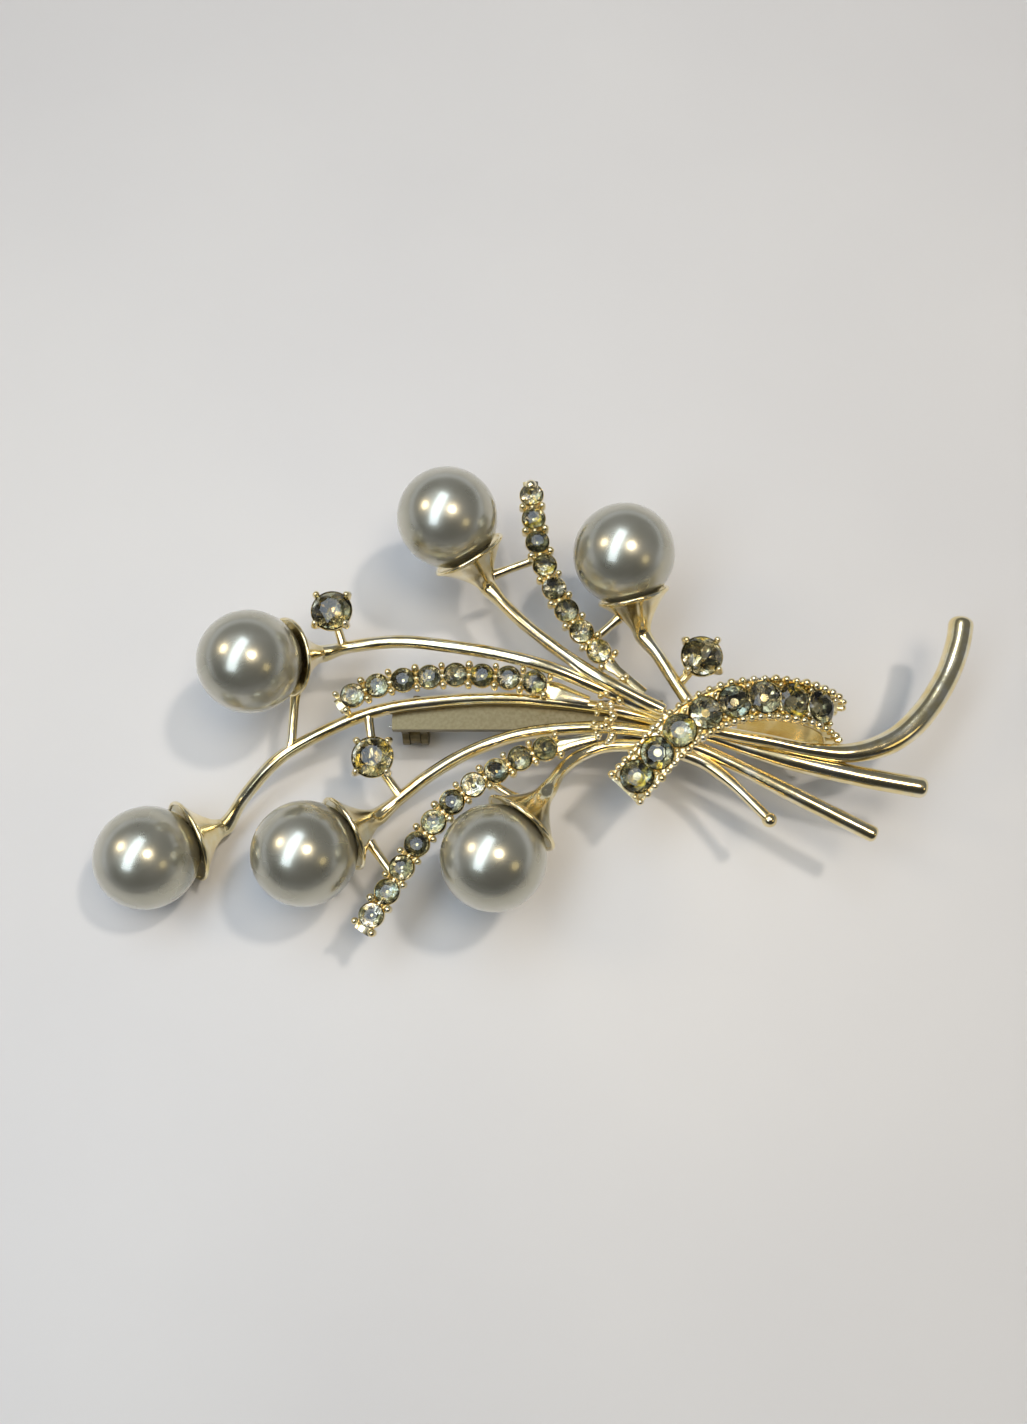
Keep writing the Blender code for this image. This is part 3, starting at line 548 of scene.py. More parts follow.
short_wire = wires([[(Vector((0.0, 0.0, 0.0)), MM), (Vector((0.01, 0.0, 0.0)), MM)]])
print("a wire of one span has", len(short_wire.polygons), "faces")
bpy.data.meshes.remove(short_wire)

# %% [markdown]
# ## Pearls
#
# Each pearl is a half-drilled bead on a peg. A sphere would look the same from outside, but a turned profile
# keeps the little hole. The last few hundredths of a millimetre are pushed in, here more and there less, so
# that no two beads shine quite the same.

# %% Sizes of pearls and cups
PEARL_RADIUS = 5.0
PEG_RADIUS = 0.45
CUP_RIM_RADII = (4.2, 3.95, 3.9, 3.6, 3.85, 3.9)
CUP_RIM_DISTANCE = 4.25
CUP_FOOT = 7.9
CUP_FLARE = 1.5
STEM_RADIUS = 0.65
NECK_RADIUS = 0.92
NECK_LENGTH = 3.2
LINK_RADIUS = 0.44
LIP_RADIUS = 0.2
DISH_GAP = 0.08

# Each pearl: its centre, the heading of its cup's foot in degrees from +X, and the foot's fall
PEARLS = (
    ((-36.9, -14.9, 5.9), 30.0, 28.0),
    ((-26.8, 3.2, 11.5), 22.0, 38.0),
    ((-8.0, 18.0, 12.0), -55.0, 31.0),
    ((9.4, 14.1, 12.0), -74.0, 26.0),
    ((-21.1, -14.9, 9.0), 32.0, 22.0),
    ((-3.3, -15.5, 10.5), 52.0, 8.0),
)
print("pearls of", 2 * PEARL_RADIUS, "mm on stems of", 2 * STEM_RADIUS, "mm")


def cup_direction(heading, fall):
    flat = math.cos(math.radians(fall))
    turn = math.radians(heading)
    return Vector((flat * math.cos(turn), flat * math.sin(turn), -math.sin(math.radians(fall))))


def cup_stand(number):
    """A frame at the pearl's centre whose -Z runs down to the foot of its cup."""
    centre, heading, fall = PEARLS[number - 1]
    turn = (-cup_direction(heading, fall)).to_track_quat("Z", "Y").to_matrix().to_4x4()
    return Matrix.Translation(spot(centre)) @ turn


# %% Make the pearls
PEARL_RINGS = 48
PEARL_SIDES = 72
BEAD_UNEVENNESS = 0.012
HOLE_DEPTH = 2.6

for number in range(1, len(PEARLS) + 1):
    hole = PEG_RADIUS + 0.1
    lowest = math.pi - math.asin(hole / PEARL_RADIUS)
    angles = [lowest * i / PEARL_RINGS for i in range(PEARL_RINGS + 1)]
    profile = [(PEARL_RADIUS * math.sin(a), PEARL_RADIUS * math.cos(a)) for a in angles]
    profile += [(hole, HOLE_DEPTH - PEARL_RADIUS), (0.0, HOLE_DEPTH - PEARL_RADIUS)]
    bead = Builder()
    bead.turned(profile, PEARL_SIDES, cup_stand(number))
    middle = spot(PEARLS[number - 1][0])
    draw = random.Random(number)
    leans = [Vector((draw.uniform(-1, 1), draw.uniform(-1, 1), draw.uniform(-1, 1))) for _ in range(3)]
    for vertex in bead.mesh.verts:
        out = (vertex.co - middle).normalized()
        push = sum(math.sin(2.5 * out.dot(lean) + k) for k, lean in enumerate(leans)) / 3
        vertex.co -= out * BEAD_UNEVENNESS * (1 + push) * MM
    bead.finish(f"pearl_bead_{number}", pearl_lacquer, "pearl_coat", [f"pearl_{number}"], sharp=50.0)
print("pearls:", len(PEARLS))

# %% [markdown]
# ## Stems and cups
#
# A stem is a round wire that opens into a cup like a trumpet flower. The bead sits in the dish of the cup,
# a hair above it, and the thin lip stands clear of the bead all round. Four stems run on through the knot
# as tails, which swell towards their tips. The wire tree draws the wire and its links, because they only
# follow a path, and the cup is turned, because it is round and its profile is what we see.

# %% The stems' lines
STEMS = (
    ((-28.3, -8.4, 3.8), (-24.6, -5.0, 5.8), (-19.6, -2.3, 6.8), (-14.7, -0.5, 7.2), (-8.7, 0.4, 7.25),
     (-2.8, 0.7, 7.25), (3.2, 0.3, 7.25), (8.1, -0.4, 7.25), (13.2, -1.7, 7.25), (16.9, -2.8, 7.3),
     (21.2, -4.3, 7.4), (26.4, -5.9, 7.8), (32.0, -7.4, 8.3), (38.1, -8.7, 8.8)),
    ((-17.8, 6.0, 7.6), (-12.8, 6.3, 8.3), (-7.7, 5.6, 8.9), (-2.8, 4.6, 9.4), (1.6, 3.3, 9.7),
     (7.0, 1.2, 9.2), (10.9, -0.4, 8.7), (14.8, -2.0, 8.6), (19.6, -3.3, 8.8), (23.4, -4.1, 9.0),
     (27.2, -4.9, 8.9), (31.1, -5.2, 8.8), (35.0, -4.1, 8.7), (38.1, -1.7, 8.8), (40.9, 2.1, 8.9),
     (42.5, 5.7, 9.0), (43.2, 8.5, 9.0)),
    ((-0.8, 8.5, 8.6), (2.6, 5.3, 9.4), (6.0, 2.6, 10.1), (9.8, 0.4, 10.1), (13.2, -1.3, 9.9)),
    ((12.8, 4.8, 8.7), (14.3, 2.2, 8.8), (15.6, 0.1, 8.7), (16.5, -1.4, 8.7)),
    ((-12.7, -9.2, 5.9), (-9.6, -6.9, 6.7), (-5.7, -4.7, 7.2), (-0.8, -3.0, 7.25), (5.1, -2.3, 7.25),
     (9.1, -2.4, 7.25), (13.0, -3.0, 7.25), (16.8, -4.4, 7.3), (20.8, -6.4, 7.5), (26.1, -9.4, 8.0),
     (29.7, -11.4, 8.3), (33.0, -13.2, 8.5)),
    ((3.4, -6.5, 7.9), (5.3, -5.0, 7.3), (8.0, -4.1, 7.2), (12.9, -4.4, 7.25), (16.8, -5.6, 7.3),
     (19.4, -7.6, 7.6), (21.5, -9.9, 8.0), (23.0, -11.6, 8.3)),
)
# Each tail: the drawn x where it starts to swell, the length of the swell and the radius at its tip
TAILS = {1: (18.0, 9.0, 1.0), 2: (24.0, 13.0, 1.18), 5: (18.0, 9.0, 0.78), 6: (18.0, 4.0, 0.5)}
NO_TAIL = (1000.0, 1.0, STEM_RADIUS)


WIRE_STEP = 0.45 * MM


def stem_path(number):
    centre, heading, fall = PEARLS[number - 1]
    direction = cup_direction(heading, fall)
    starts = [spot(centre) + direction * reach * MM for reach in (CUP_FOOT - 0.4, CUP_FOOT + 0.4)]
    return Path(starts + [spot(p) for p in STEMS[number - 1]])


def eased(value, start, length):
    """0 before start, 1 from start + length on, with a soft rise between."""
    share = min(max((value - start) / length, 0.0), 1.0)
    return share * share * (3 - 2 * share)


def stem_radius(number, path):
    """The wire's radius at a distance: it leaves the cup as a neck, and may swell towards a tail's tip."""
    start_x, swell_length, tip = TAILS.get(number, NO_TAIL)
    wanted = spot((start_x, 0.0, 0.0)).x
    start = min([d for d, p in zip(path.lengths, path.points) if p.x >= wanted], default=path.length)

    def radius(distance):
        neck = (NECK_RADIUS - STEM_RADIUS) * (1 - eased(distance, 0.0, NECK_LENGTH * MM))
        swell = (tip - STEM_RADIUS) * eased(distance, start, swell_length * MM)
        return (STEM_RADIUS + neck + swell) * MM

    return radius


def wire_line(path, radius, round_end=0.6, wobble=0.02):
    """(place, thickness) along a path. The end is rounded over a share of its radius, as polishing leaves it."""
    tip = radius(path.length)
    rounding = round_end * tip
    last = path.length - rounding
    count = max(2, round(last / WIRE_STEP))
    found = []
    for index in range(count + 1):
        distance = last * index / count
        uneven = 1 + wobble * math.sin(distance / (2.3 * MM)) * math.sin(distance / (0.9 * MM) + 1)
        found.append((path.at(distance), radius(distance) * uneven))
    for index in range(1, 6):
        angle = math.pi / 2 * index / 6
        narrowed = tip * (1 - round_end * (1 - math.cos(angle)))
        found.append((path.at(last + rounding * math.sin(angle)), narrowed))
    return found


print("first stem:", round(stem_path(1).length / MM, 1), "mm long")

# %% The cup's profile
def cup_radius(number, along):
    rim = CUP_RIM_RADII[number - 1]
    share = (along - CUP_RIM_DISTANCE) / (CUP_FOOT - CUP_RIM_DISTANCE)
    return NECK_RADIUS + (rim - NECK_RADIUS) * max(1 - share, 0.0) ** CUP_FLARE


def cup_outline(number):
    """From the peg's top down into the dish, over the lip and down the flare to the foot."""
    lip = LIP_RADIUS
    dish = PEARL_RADIUS + DISH_GAP
    points = [(0.0, -2.5), (PEG_RADIUS, -2.6), (PEG_RADIUS, -dish)]
    for degrees in (8, 12, 16, 20):
        angle = math.radians(degrees)
        points.append((dish * math.sin(angle), -dish * math.cos(angle)))
    dish_edge = points[-1]
    inside = (CUP_RIM_RADII[number - 1] - 2 * lip, -CUP_RIM_DISTANCE)
    for share in (0.33, 0.66):
        points.append(tuple(a + (b - a) * share for a, b in zip(dish_edge, inside)))
    for degrees in range(180, -31, -30):
        angle = math.radians(degrees)
        points.append((inside[0] + lip * (1 + math.cos(angle)), inside[1] + lip * math.sin(angle)))
    for index in range(1, 19):
        along = CUP_RIM_DISTANCE + lip + (CUP_FOOT - CUP_RIM_DISTANCE - lip) * index / 18
        points.append((cup_radius(number, along), -along))
    return points + [(NECK_RADIUS * 0.6, -CUP_FOOT - 0.2), (0.0, -CUP_FOOT - 0.3)]


def cup_anchor(number, start, share):
    """The point on the side of a cup that faces the start of a link, a share of the way to its foot."""
    centre, heading, fall = PEARLS[number - 1]
    direction = cup_direction(heading, fall)
    along = PEARL_RADIUS + share * (CUP_FOOT - PEARL_RADIUS)
    axis = spot(centre) + direction * along * MM
    side = start - axis
    side = (side - direction * side.dot(direction)).normalized()
    return axis + side * cup_radius(number, along) * MM


def link_line(start, end, radius=LINK_RADIUS):
    """A short link, a little thicker where the solder runs up at each end."""
    shares = [i / 10 for i in range(11)]
    flare = [1 + 0.35 * (abs(2 * share - 1) ** 4) for share in shares]
    return [(start.lerp(end, share), radius * MM * wide) for share, wide in zip(shares, flare)]


print("points in a cup's profile:", len(cup_outline(1)))

# %% Make the stems
STEM_LINK_X = -23.6
STEM_LINK_SHARE = -0.1
STEM_LINK_RADIUS = 0.46
CUP_SIDES = 64
TIP_BALL = 0.74

for number in range(1, len(STEMS) + 1):
    path = stem_path(number)
    lines = [wire_line(path, stem_radius(number, path))]
    if number == 1:
        wanted = spot((STEM_LINK_X, 0.0, 0.0)).x
        start = min(path.points, key=lambda p: abs(p.x - wanted))
        lines.append(link_line(start, cup_anchor(2, start, STEM_LINK_SHARE), STEM_LINK_RADIUS))
    stem = Builder()
    stem.take(wires(lines))
    stem.turned(cup_outline(number), CUP_SIDES, cup_stand(number))
    if number == 6:
        stem.ball(path.points[-1] - Vector((0.0, 0.0, 0.1 * MM)), TIP_BALL)
    piece = stem.finish(f"stem_and_cup_{number}", gold, "gold_plate", [f"stem_{number}"], sharp=50.0)
    print(piece.name, len(piece.data.polygons), "faces")

# %% [markdown]
# ## Stones
#
# One cut serves every stone: eight-fold, with a table, star facets, kites, a thin girdle and a pointed
# pavilion. A bevelled cone would be quicker, but the eye knows these facets by how they flash. The cut is
# drawn with a girdle radius of 1 and scaled. The faces below the girdle carry an attribute that tells the
# tree to foil them.

# %% The cut
def cut_stone():
    """An object that holds one cut stone of radius 1."""
    shape = bmesh.new()

    def ring(count, radius, height, offset=0.0):
        turns = [2 * math.pi * (i + offset) / count for i in range(count)]
        return [shape.verts.new((radius * math.cos(t), radius * math.sin(t), height)) for t in turns]

    table = ring(8, 0.55, 0.38, 0.5)
    kite = ring(8, 0.79, 0.25)
    top = ring(16, 0.985, 0.06)
    edge = ring(16, 0.985, 0.0)
    belly = ring(8, 0.55, -0.36, 0.5)
    point = shape.verts.new((0.0, 0.0, -0.72))
    shape.faces.new(table)
    backs = []
    for i in range(8):
        j, before = (i + 1) % 8, (i - 1) % 8
        shape.faces.new((table[before], kite[i], table[i]))
        shape.faces.new((kite[i], top[2 * i + 1], table[i]))
        shape.faces.new((kite[j], table[i], top[2 * i + 1]))
        shape.faces.new((kite[i], top[2 * i], top[2 * i + 1]))
        shape.faces.new((kite[j], top[2 * i + 1], top[(2 * i + 2) % 16]))
        backs.append(shape.faces.new((edge[2 * i], belly[i], edge[2 * i + 1])))
        backs.append(shape.faces.new((edge[2 * i + 1], belly[i], edge[(2 * i + 2) % 16])))
        backs.append(shape.faces.new((belly[before], point, belly[i], edge[2 * i])))
    for i in range(16):
        shape.faces.new((edge[i], edge[(i + 1) % 16], top[(i + 1) % 16], top[i]))
    bmesh.ops.recalc_face_normals(shape, faces=shape.faces)
    shape.faces.index_update()
    marks = [face in backs for face in shape.faces]
    data = bpy.data.meshes.new("cut")
    shape.to_mesh(data)
    shape.free()
    data.attributes.new("back", "BOOLEAN", "FACE").data.foreach_set("value", marks)
    return into_scene("cut", data)


cut = cut_stone()
print("the cut has", len(cut.data.polygons), "facets")


def stones(name, frames, diameter, stands_for, seed):
    """Sets a stone on each frame, each turned a little in its seat as a setter leaves it."""
    draw = random.Random(seed)
    set_frames = []
    for here in frames:
        tilt = Matrix.Rotation(math.radians(draw.uniform(-2.5, 2.5)), 4, (draw.random(), draw.random(), 0.0))
        set_frames.append(here @ Matrix.Rotation(draw.uniform(0.0, math.pi), 4, "Z") @ tilt)
    data = stand(set_frames, cut, diameter / 2 * MM, paste, glint_painted_foil)
    data.name = name
    hand_over(name, data, stands_for)
    print(name, len(frames), "stones")


# %% [markdown]
# ## Sprigs
#
# A sprig is a row of cup settings soldered side by side on a thin strip, with a grain of metal raised over
# the stones at each side of every gap. The cups, the bridges between them and the grains all repeat, so
# the two trees make them. Only the strip with its bare foot is swept, because its width changes on the way.

# %% Sizes of the sprigs
SPRIG_STONE = 2.26
SPRIG_PITCH = 2.6
SEAT_CLEARANCE = 0.05
SEAT_WALL = 0.08
SEAT_FLOOR = 0.2
PAVILION_SHARE = 0.36
CLAW_RADIUS = 0.26
STRIP_SHEET = 0.34
STRIP_WIDTH = 1.56
FOOT_WIDTHS = (1.0, 2.1, 1.3)
FOOT_END = 0.9
FOOT_TAPER = 1.2
FOOT_TOP = -0.6
FIRST_SHARE = 0.72
LINK_DEPTH = 0.16
TIP_ROUND = 0.62
BRIDGE_LENGTH = 0.7
BRIDGE_RADIUS = 0.42

SPRIGS = (
    (8, ((0.3, 23.3, 10.1), (0.4, 21.5, 10.1), (0.6, 18.9, 10.1), (1.0, 16.1, 10.1), (1.9, 13.2, 10.0),
         (2.9, 10.7, 9.9), (4.3, 8.3, 9.8), (5.9, 6.1, 9.6), (7.8, 4.1, 9.4), (9.8, 2.3, 9.3), (11.4, 0.9, 9.3))),
    (8, ((-18.8, -0.4, 8.6), (-17.1, 0.7, 8.7), (-14.6, 1.7, 8.8), (-12.1, 2.2, 8.9), (-9.5, 2.5, 8.9),
         (-7.0, 2.7, 8.9), (-4.4, 2.6, 8.9), (-1.9, 2.4, 8.9), (0.7, 1.9, 8.9), (3.1, 1.1, 8.9),
         (6.0, 0.2, 8.9))),
    (10, ((-15.8, -22.1, 7.8), (-14.7, -20.5, 8.0), (-13.2, -18.2, 8.2), (-11.8, -15.9, 8.5),
          (-10.3, -13.6, 8.7), (-8.7, -11.5, 8.8), (-6.9, -9.6, 8.9), (-4.8, -8.0, 9.0), (-2.6, -6.7, 9.0),
          (-0.5, -5.6, 9.0), (1.6, -4.8, 9.0), (4.0, -4.1, 8.9), (6.6, -3.5, 8.9))),
)
# Links under the strip: the stones before the link, the pearl whose cup it reaches, and how far down the cup
SPRIG_LINKS = {1: ((3, 3, 0.8), (7, 4, 0.35)), 3: ((2, 5, 0.35), (7, 6, 0.35))}
print("stones in the sprigs:", sum(count for count, _ in SPRIGS))


# %% Shapes that repeat in a setting
def shape_object(name, profile, steps):
    """An object of one turned shape, to be copied by the tree."""
    made = Builder()
    made.turned(profile, steps, Matrix.Identity(4))
    bmesh.ops.recalc_face_normals(made.mesh, faces=made.mesh.faces)
    data = bpy.data.meshes.new(name)
    made.mesh.to_mesh(data)
    made.mesh.free()
    data.shade_smooth()
    data.set_sharp_from_angle(angle=math.radians(40))
    return into_scene(name, data)


def seat_profile(stone):
    """A cup setting for a stone of a given diameter, in millimetres, its girdle at height 0."""
    seat = stone / 2 + SEAT_CLEARANCE
    wall = seat + SEAT_WALL
    depth = PAVILION_SHARE * stone * seat / (stone / 2)
    floor = depth + SEAT_FLOOR
    return [
        (0.0, -depth - 0.02), (seat * 0.95, -0.06), (seat, 0.0), (seat + 0.02, 0.03), (wall - 0.06, 0.03),
        (wall - 0.01, -0.03), (wall, -0.12), (wall, -0.3 * floor), (wall * 0.93, -0.6 * floor),
        (wall * 0.8, -floor + 0.05), (wall * 0.72, -floor), (0.0, -floor),
    ]


def grain_profile(radius, low, top):
    """A raised grain: a short post with a rounded head."""
    points = [(0.0, low), (radius, low), (radius * 1.02, top - radius)]
    for degrees in (20, 40, 60, 75):
        angle = math.radians(degrees)
        points.append((radius * math.cos(angle), top - radius + radius * math.sin(angle)))
    return points + [(0.0, top)]


sprig_seat = shape_object("sprig_seat", seat_profile(SPRIG_STONE), 32)
sprig_grain = shape_object("sprig_grain", grain_profile(0.36, -0.5, 0.5), 10)
print("faces of a seat and a grain:", len(sprig_seat.data.polygons), len(sprig_grain.data.polygons))

# %% The strip under a sprig
STRIP_FRAMES = 60
sprig_half = SPRIG_STONE / 2 + SEAT_CLEARANCE + SEAT_WALL
sprig_depth = PAVILION_SHARE * SPRIG_STONE + SEAT_CLEARANCE + SEAT_FLOOR


def strip_outline(distance, set_end, whole, foot):
    """The strip across itself: flat under the stones, and past set_end a thicker foot that narrows."""
    share = min(max((distance - set_end) / (FOOT_TAPER * MM), 0.0), 1.0)
    narrowed = foot + (FOOT_END - foot) * max(distance - set_end, 0.0) / (whole - set_end)
    half = (STRIP_WIDTH + (narrowed - STRIP_WIDTH) * share) / 2 * MM
    top = (-sprig_depth + STRIP_SHEET + (sprig_depth - STRIP_SHEET + FOOT_TOP) * share) * MM
    bottom = -sprig_depth * MM
    soft = 0.12 * MM
    return [
        (-half, bottom + soft), (-half + soft, bottom), (half - soft, bottom), (half, bottom + soft),
        (half, top - soft), (half * 0.6, top), (-half * 0.6, top), (-half, top - soft),
    ]


print("the strip lies", round(sprig_depth, 2), "mm under the girdles")

# %% Make the sprigs
for number, (count, places) in enumerate(SPRIGS, start=1):
    path = Path([spot(p) for p in places])
    first = FIRST_SHARE * SPRIG_PITCH * MM
    pitch = SPRIG_PITCH * MM
    seats = [path.frame(first + index * pitch) for index in range(count)]
    gaps = [path.frame(first + (index - 0.5) * pitch) for index in range(count + 1)]
    side = sprig_half - CLAW_RADIUS
    # The first sprig ends in a round tip in place of a pair of grains.
    grained = gaps[1:] if number == 1 else gaps
    grains = [gap @ Matrix.Translation((0.0, way * side * MM, 0.0)) for gap in grained for way in (-1, 1)]
    set_end = first + (count - 0.5) * pitch
    distances = [path.length * i / STRIP_FRAMES for i in range(STRIP_FRAMES + 1)]
    outlines = [strip_outline(d, set_end, path.length, FOOT_WIDTHS[number - 1]) for d in distances]

    sprig = Builder()
    sprig.swept([path.frame(distance) for distance in distances], outlines)
    sprig.take(stand(seats, sprig_seat, 1.0, gold))
    sprig.take(stand(grains, sprig_grain, 1.0, gold, unevenness=0.12, seed=10 + number))
    bridges = []
    for gap in gaps[1:-1]:
        ends = [gap @ Vector((way * BRIDGE_LENGTH / 2 * MM, 0.0, -0.45 * MM)) for way in (-1, 1)]
        bridges.append([(ends[0].lerp(ends[1], i / 4), BRIDGE_RADIUS * MM) for i in range(5)])
    sprig.take(wires(bridges, 12))
    if number == 1:
        sprig.ball(gaps[0] @ Vector((0.25 * MM, 0.0, -0.1 * MM)), TIP_ROUND)
    links = []
    for before, pearl_number, share in SPRIG_LINKS.get(number, ()):
        under = Vector((0.0, 0.0, -(sprig_depth + LINK_DEPTH) * MM))
        start = path.frame(first + (before - 0.5) * pitch) @ under
        links.append(link_line(start, cup_anchor(pearl_number, start, share)))
    if links:
        sprig.take(wires(links, 14))
    sprig.finish(f"sprig_setting_{number}", gold, "gold_plate", [f"sprig_{number}"])
    names = [f"sprig_{number}_stone_{i:02d}" for i in range(1, count + 1)]
    stones(f"sprig_stones_{number}", seats, SPRIG_STONE, names, seed=number)

# %% [markdown]
# ## The ribbon
#
# The ribbon is a shallow channel of sheet that crosses the knot, rises, and curls under at its right end.
# Larger cup settings stand in the channel, and both of its edges carry a line of grains, like milled
# ribbon. A curve's own twist is hard to steer through the curl, so the channel's outline is swept along
# frames whose width is drawn at every point.

# %% The ribbon's line
RIBBON_STONE = 3.12
RIBBON_PITCH = 3.0
RIBBON_FIRST = 1.9
RIBBON_STONES = 8
RIBBON_EDGE = 0.43
RIBBON_FRAMES = 110
WALL = 0.34
WALL_SOFT = 0.08
SHEET_SHARE = 0.62
GRAIN_PITCH = 0.98
CLAW_ASIDE = 1.22

RIBBON = (
    ((9.0, -9.0, 9.2), 140.0), ((10.4, -7.6, 9.8), 138.0), ((12.4, -5.4, 11.0), 134.0),
    ((14.6, -3.4, 11.9), 126.0), ((17.2, -1.8, 12.2), 114.0), ((19.8, -0.9, 12.2), 102.0),
    ((22.6, -0.5, 12.0), 92.0), ((25.6, -0.6, 11.4), 84.0), ((28.5, -1.1, 10.2), 78.0),
    ((30.6, -1.9, 8.0), 78.0), ((29.8, -2.4, 6.0), 82.0), ((27.2, -2.5, 5.1), 88.0),
    ((20.8, -2.3, 5.0), 92.0),
)
turns = [math.radians(heading) for _, heading in RIBBON]
ribbon_path = Path([spot(p) for p, _ in RIBBON], [Vector((math.cos(t), math.sin(t), 0.0)) for t in turns])
print("ribbon length", round(ribbon_path.length / MM, 1), "mm")

# %% Make the ribbon
half_width = (RIBBON_STONE / 2 + RIBBON_EDGE) * MM
depth = (PAVILION_SHARE * RIBBON_STONE + SEAT_CLEARANCE + SEAT_FLOOR) * MM
soft, outer, inner = 0.1 * MM, half_width - WALL_SOFT * MM, half_width - (WALL - WALL_SOFT) * MM
right_side = [
    (half_width - soft, -depth), (half_width, -depth + soft), (half_width, -soft), (outer, 0.0), (inner, 0.0),
    (half_width - WALL * MM, -soft), (half_width - WALL * MM, -depth * SHEET_SHARE),
]
channel = right_side + [(-across, out) for across, out in reversed(right_side)]
frames = [ribbon_path.frame(ribbon_path.length * i / RIBBON_FRAMES) for i in range(RIBBON_FRAMES + 1)]
band = Builder()
band.swept(frames, [channel] * len(frames))
seats = [ribbon_path.frame((RIBBON_FIRST + i * RIBBON_PITCH) * MM) for i in range(RIBBON_STONES)]
gaps = [ribbon_path.frame((RIBBON_FIRST + (i - 0.5) * RIBBON_PITCH) * MM) for i in range(RIBBON_STONES + 1)]
ribbon_seat = shape_object("ribbon_seat", seat_profile(RIBBON_STONE), 40)
band.take(stand(seats, ribbon_seat, 1.0, gold))
claw = shape_object("claw", grain_profile(0.24, -0.6, 0.42), 12)
claws = [gap @ Matrix.Translation((0.0, way * CLAW_ASIDE * MM, 0.0)) for gap in gaps for way in (-1, 1)]
band.take(stand(claws, claw, 1.0, gold, unevenness=0.08, seed=21))
edge_grains = []
distance = 0.4 * MM
while distance < ribbon_path.length - 0.3 * MM:
    here = ribbon_path.frame(distance)
    edge_grains += [here @ Matrix.Translation((0.0, way * (half_width - 0.12 * MM), 0.0)) for way in (-1, 1)]
    distance += GRAIN_PITCH * MM
edge_grain = shape_object("edge_grain", grain_profile(0.37, -0.4, 0.44), 8)
band.take(stand(edge_grains, edge_grain, 1.0, gold, unevenness=0.14, seed=22))
band.finish("ribbon_band", gold, "gold_plate", ["ribbon"])
stones("ribbon_stones", seats, RIBBON_STONE, [f"ribbon_stone_{i}" for i in range(1, RIBBON_STONES + 1)], seed=7)
print("grains on the ribbon's edges:", len(edge_grains))

# %% [markdown]
# ## Solder grains
#
# Where the wires and the sprigs' feet meet under the ribbon, the solder stands up in small round grains.
# They could be scattered over the wires' surfaces, but the solder only runs along one line across the knot,
# so they stand along that line. The tree gives them more unevenness than it gives the claws.

# %% Make the grains
GRAINS = 30
KNOT = ((10.0, 1.7, 9.5), (8.2, 0.4, 9.5), (7.2, -2.0, 9.1), (7.6, -4.2, 8.9))

draw = random.Random(31)
knot_path = Path([spot(p) for p in KNOT])
scattered = []
for index in range(GRAINS):
    here = knot_path.frame(knot_path.length * (index + draw.random()) / GRAINS)
    aside = Vector((0.0, draw.uniform(-1.0, 1.0), draw.uniform(-0.5, 0.2))) * MM
    scattered.append(here @ Matrix.Translation(aside))
solder_grain = shape_object("solder_grain", grain_profile(0.36, -0.3, 0.42), 12)
solder = Builder()
solder.take(stand(scattered, solder_grain, 1.0, gold, unevenness=0.35, seed=23))
solder.finish("solder_grains", gold, "gold_plate", sharp=60.0)
print("solder grains:", len(scattered))

# %% [markdown]
# ## Single stones
#
# Three larger stones stand alone in collets: small cones with four claws bent over the stone. The cone is
# turned. A claw is a short wire that leans out with the cone and turns in at its tip, so the wire tree draws
# it like the links.

# %% The collets' sizes
SINGLE_STONE = 3.9
COLLET_FOOT = 1.1
COLLET_CLAW_RADIUS = 0.34
# A claw's bend, as distances from the axis and heights over the girdle
CLAW_BEND = ((1.6, -0.95), (2.0, -0.45), (2.26, 0.0), (2.28, 0.3), (2.12, 0.55), (1.86, 0.66))
SINGLES = (
    ((-19.5, 9.1, 9.6), ((2, -18.6),)),
    ((-15.1, -5.5, 8.4), ((1, -15.8), (5, -12.4))),
    ((16.9, 4.1, 10.4), ((4, 14.7),)),
)

single_depth = PAVILION_SHARE * SINGLE_STONE
seat = SINGLE_STONE / 2 + SEAT_CLEARANCE
wall = seat + SEAT_WALL
collet = [
    (0.0, -single_depth - 0.04), (seat * 0.96, -0.08), (seat, 0.0), (seat + 0.04, 0.05), (wall - 0.04, 0.05),
    (wall, -0.04), (wall - 0.02, -0.22), (wall - 0.16, -0.3), (wall - 0.2, -0.5), (wall - 0.12, -0.6),
    (COLLET_FOOT + 0.25, -single_depth * 0.8), (COLLET_FOOT, -single_depth - SEAT_FLOOR),
    (0.0, -single_depth - SEAT_FLOOR),
]
print("a collet is", round(single_depth + SEAT_FLOOR, 2), "mm deep")

# %% Make the collets
for number, (centre, targets) in enumerate(SINGLES, start=1):
    middle = Matrix.Translation(spot(centre))
    holder = Builder()
    holder.turned(collet, 48, middle)
    lines = []
    for quarter in range(4):
        turn = middle @ Matrix.Rotation(math.radians(45 + 90 * quarter), 4, "Z")
        bend = Path([turn @ Vector((r * MM, 0.0, z * MM)) for r, z in CLAW_BEND])
        lines.append(wire_line(bend, lambda distance: COLLET_CLAW_RADIUS * MM, round_end=0.8, wobble=0.0))
    waist = spot(centre) - Vector((0.0, 0.0, 0.85 * single_depth * MM))
    for stem_number, x in targets:
        wanted = spot((x, 0.0, 0.0)).x
        target = min(stem_path(stem_number).points, key=lambda p: abs(p.x - wanted))
        lines.append(link_line(waist, target))
    holder.take(wires(lines, 14))
    holder.finish(f"collet_setting_{number}", gold, "gold_plate", [f"collet_{number}"])
middles = [Matrix.Translation(spot(centre)) for centre, _ in SINGLES]
stones("single_stones", middles, SINGLE_STONE, [f"single_stone_{i}" for i in (1, 2, 3)], seed=5)

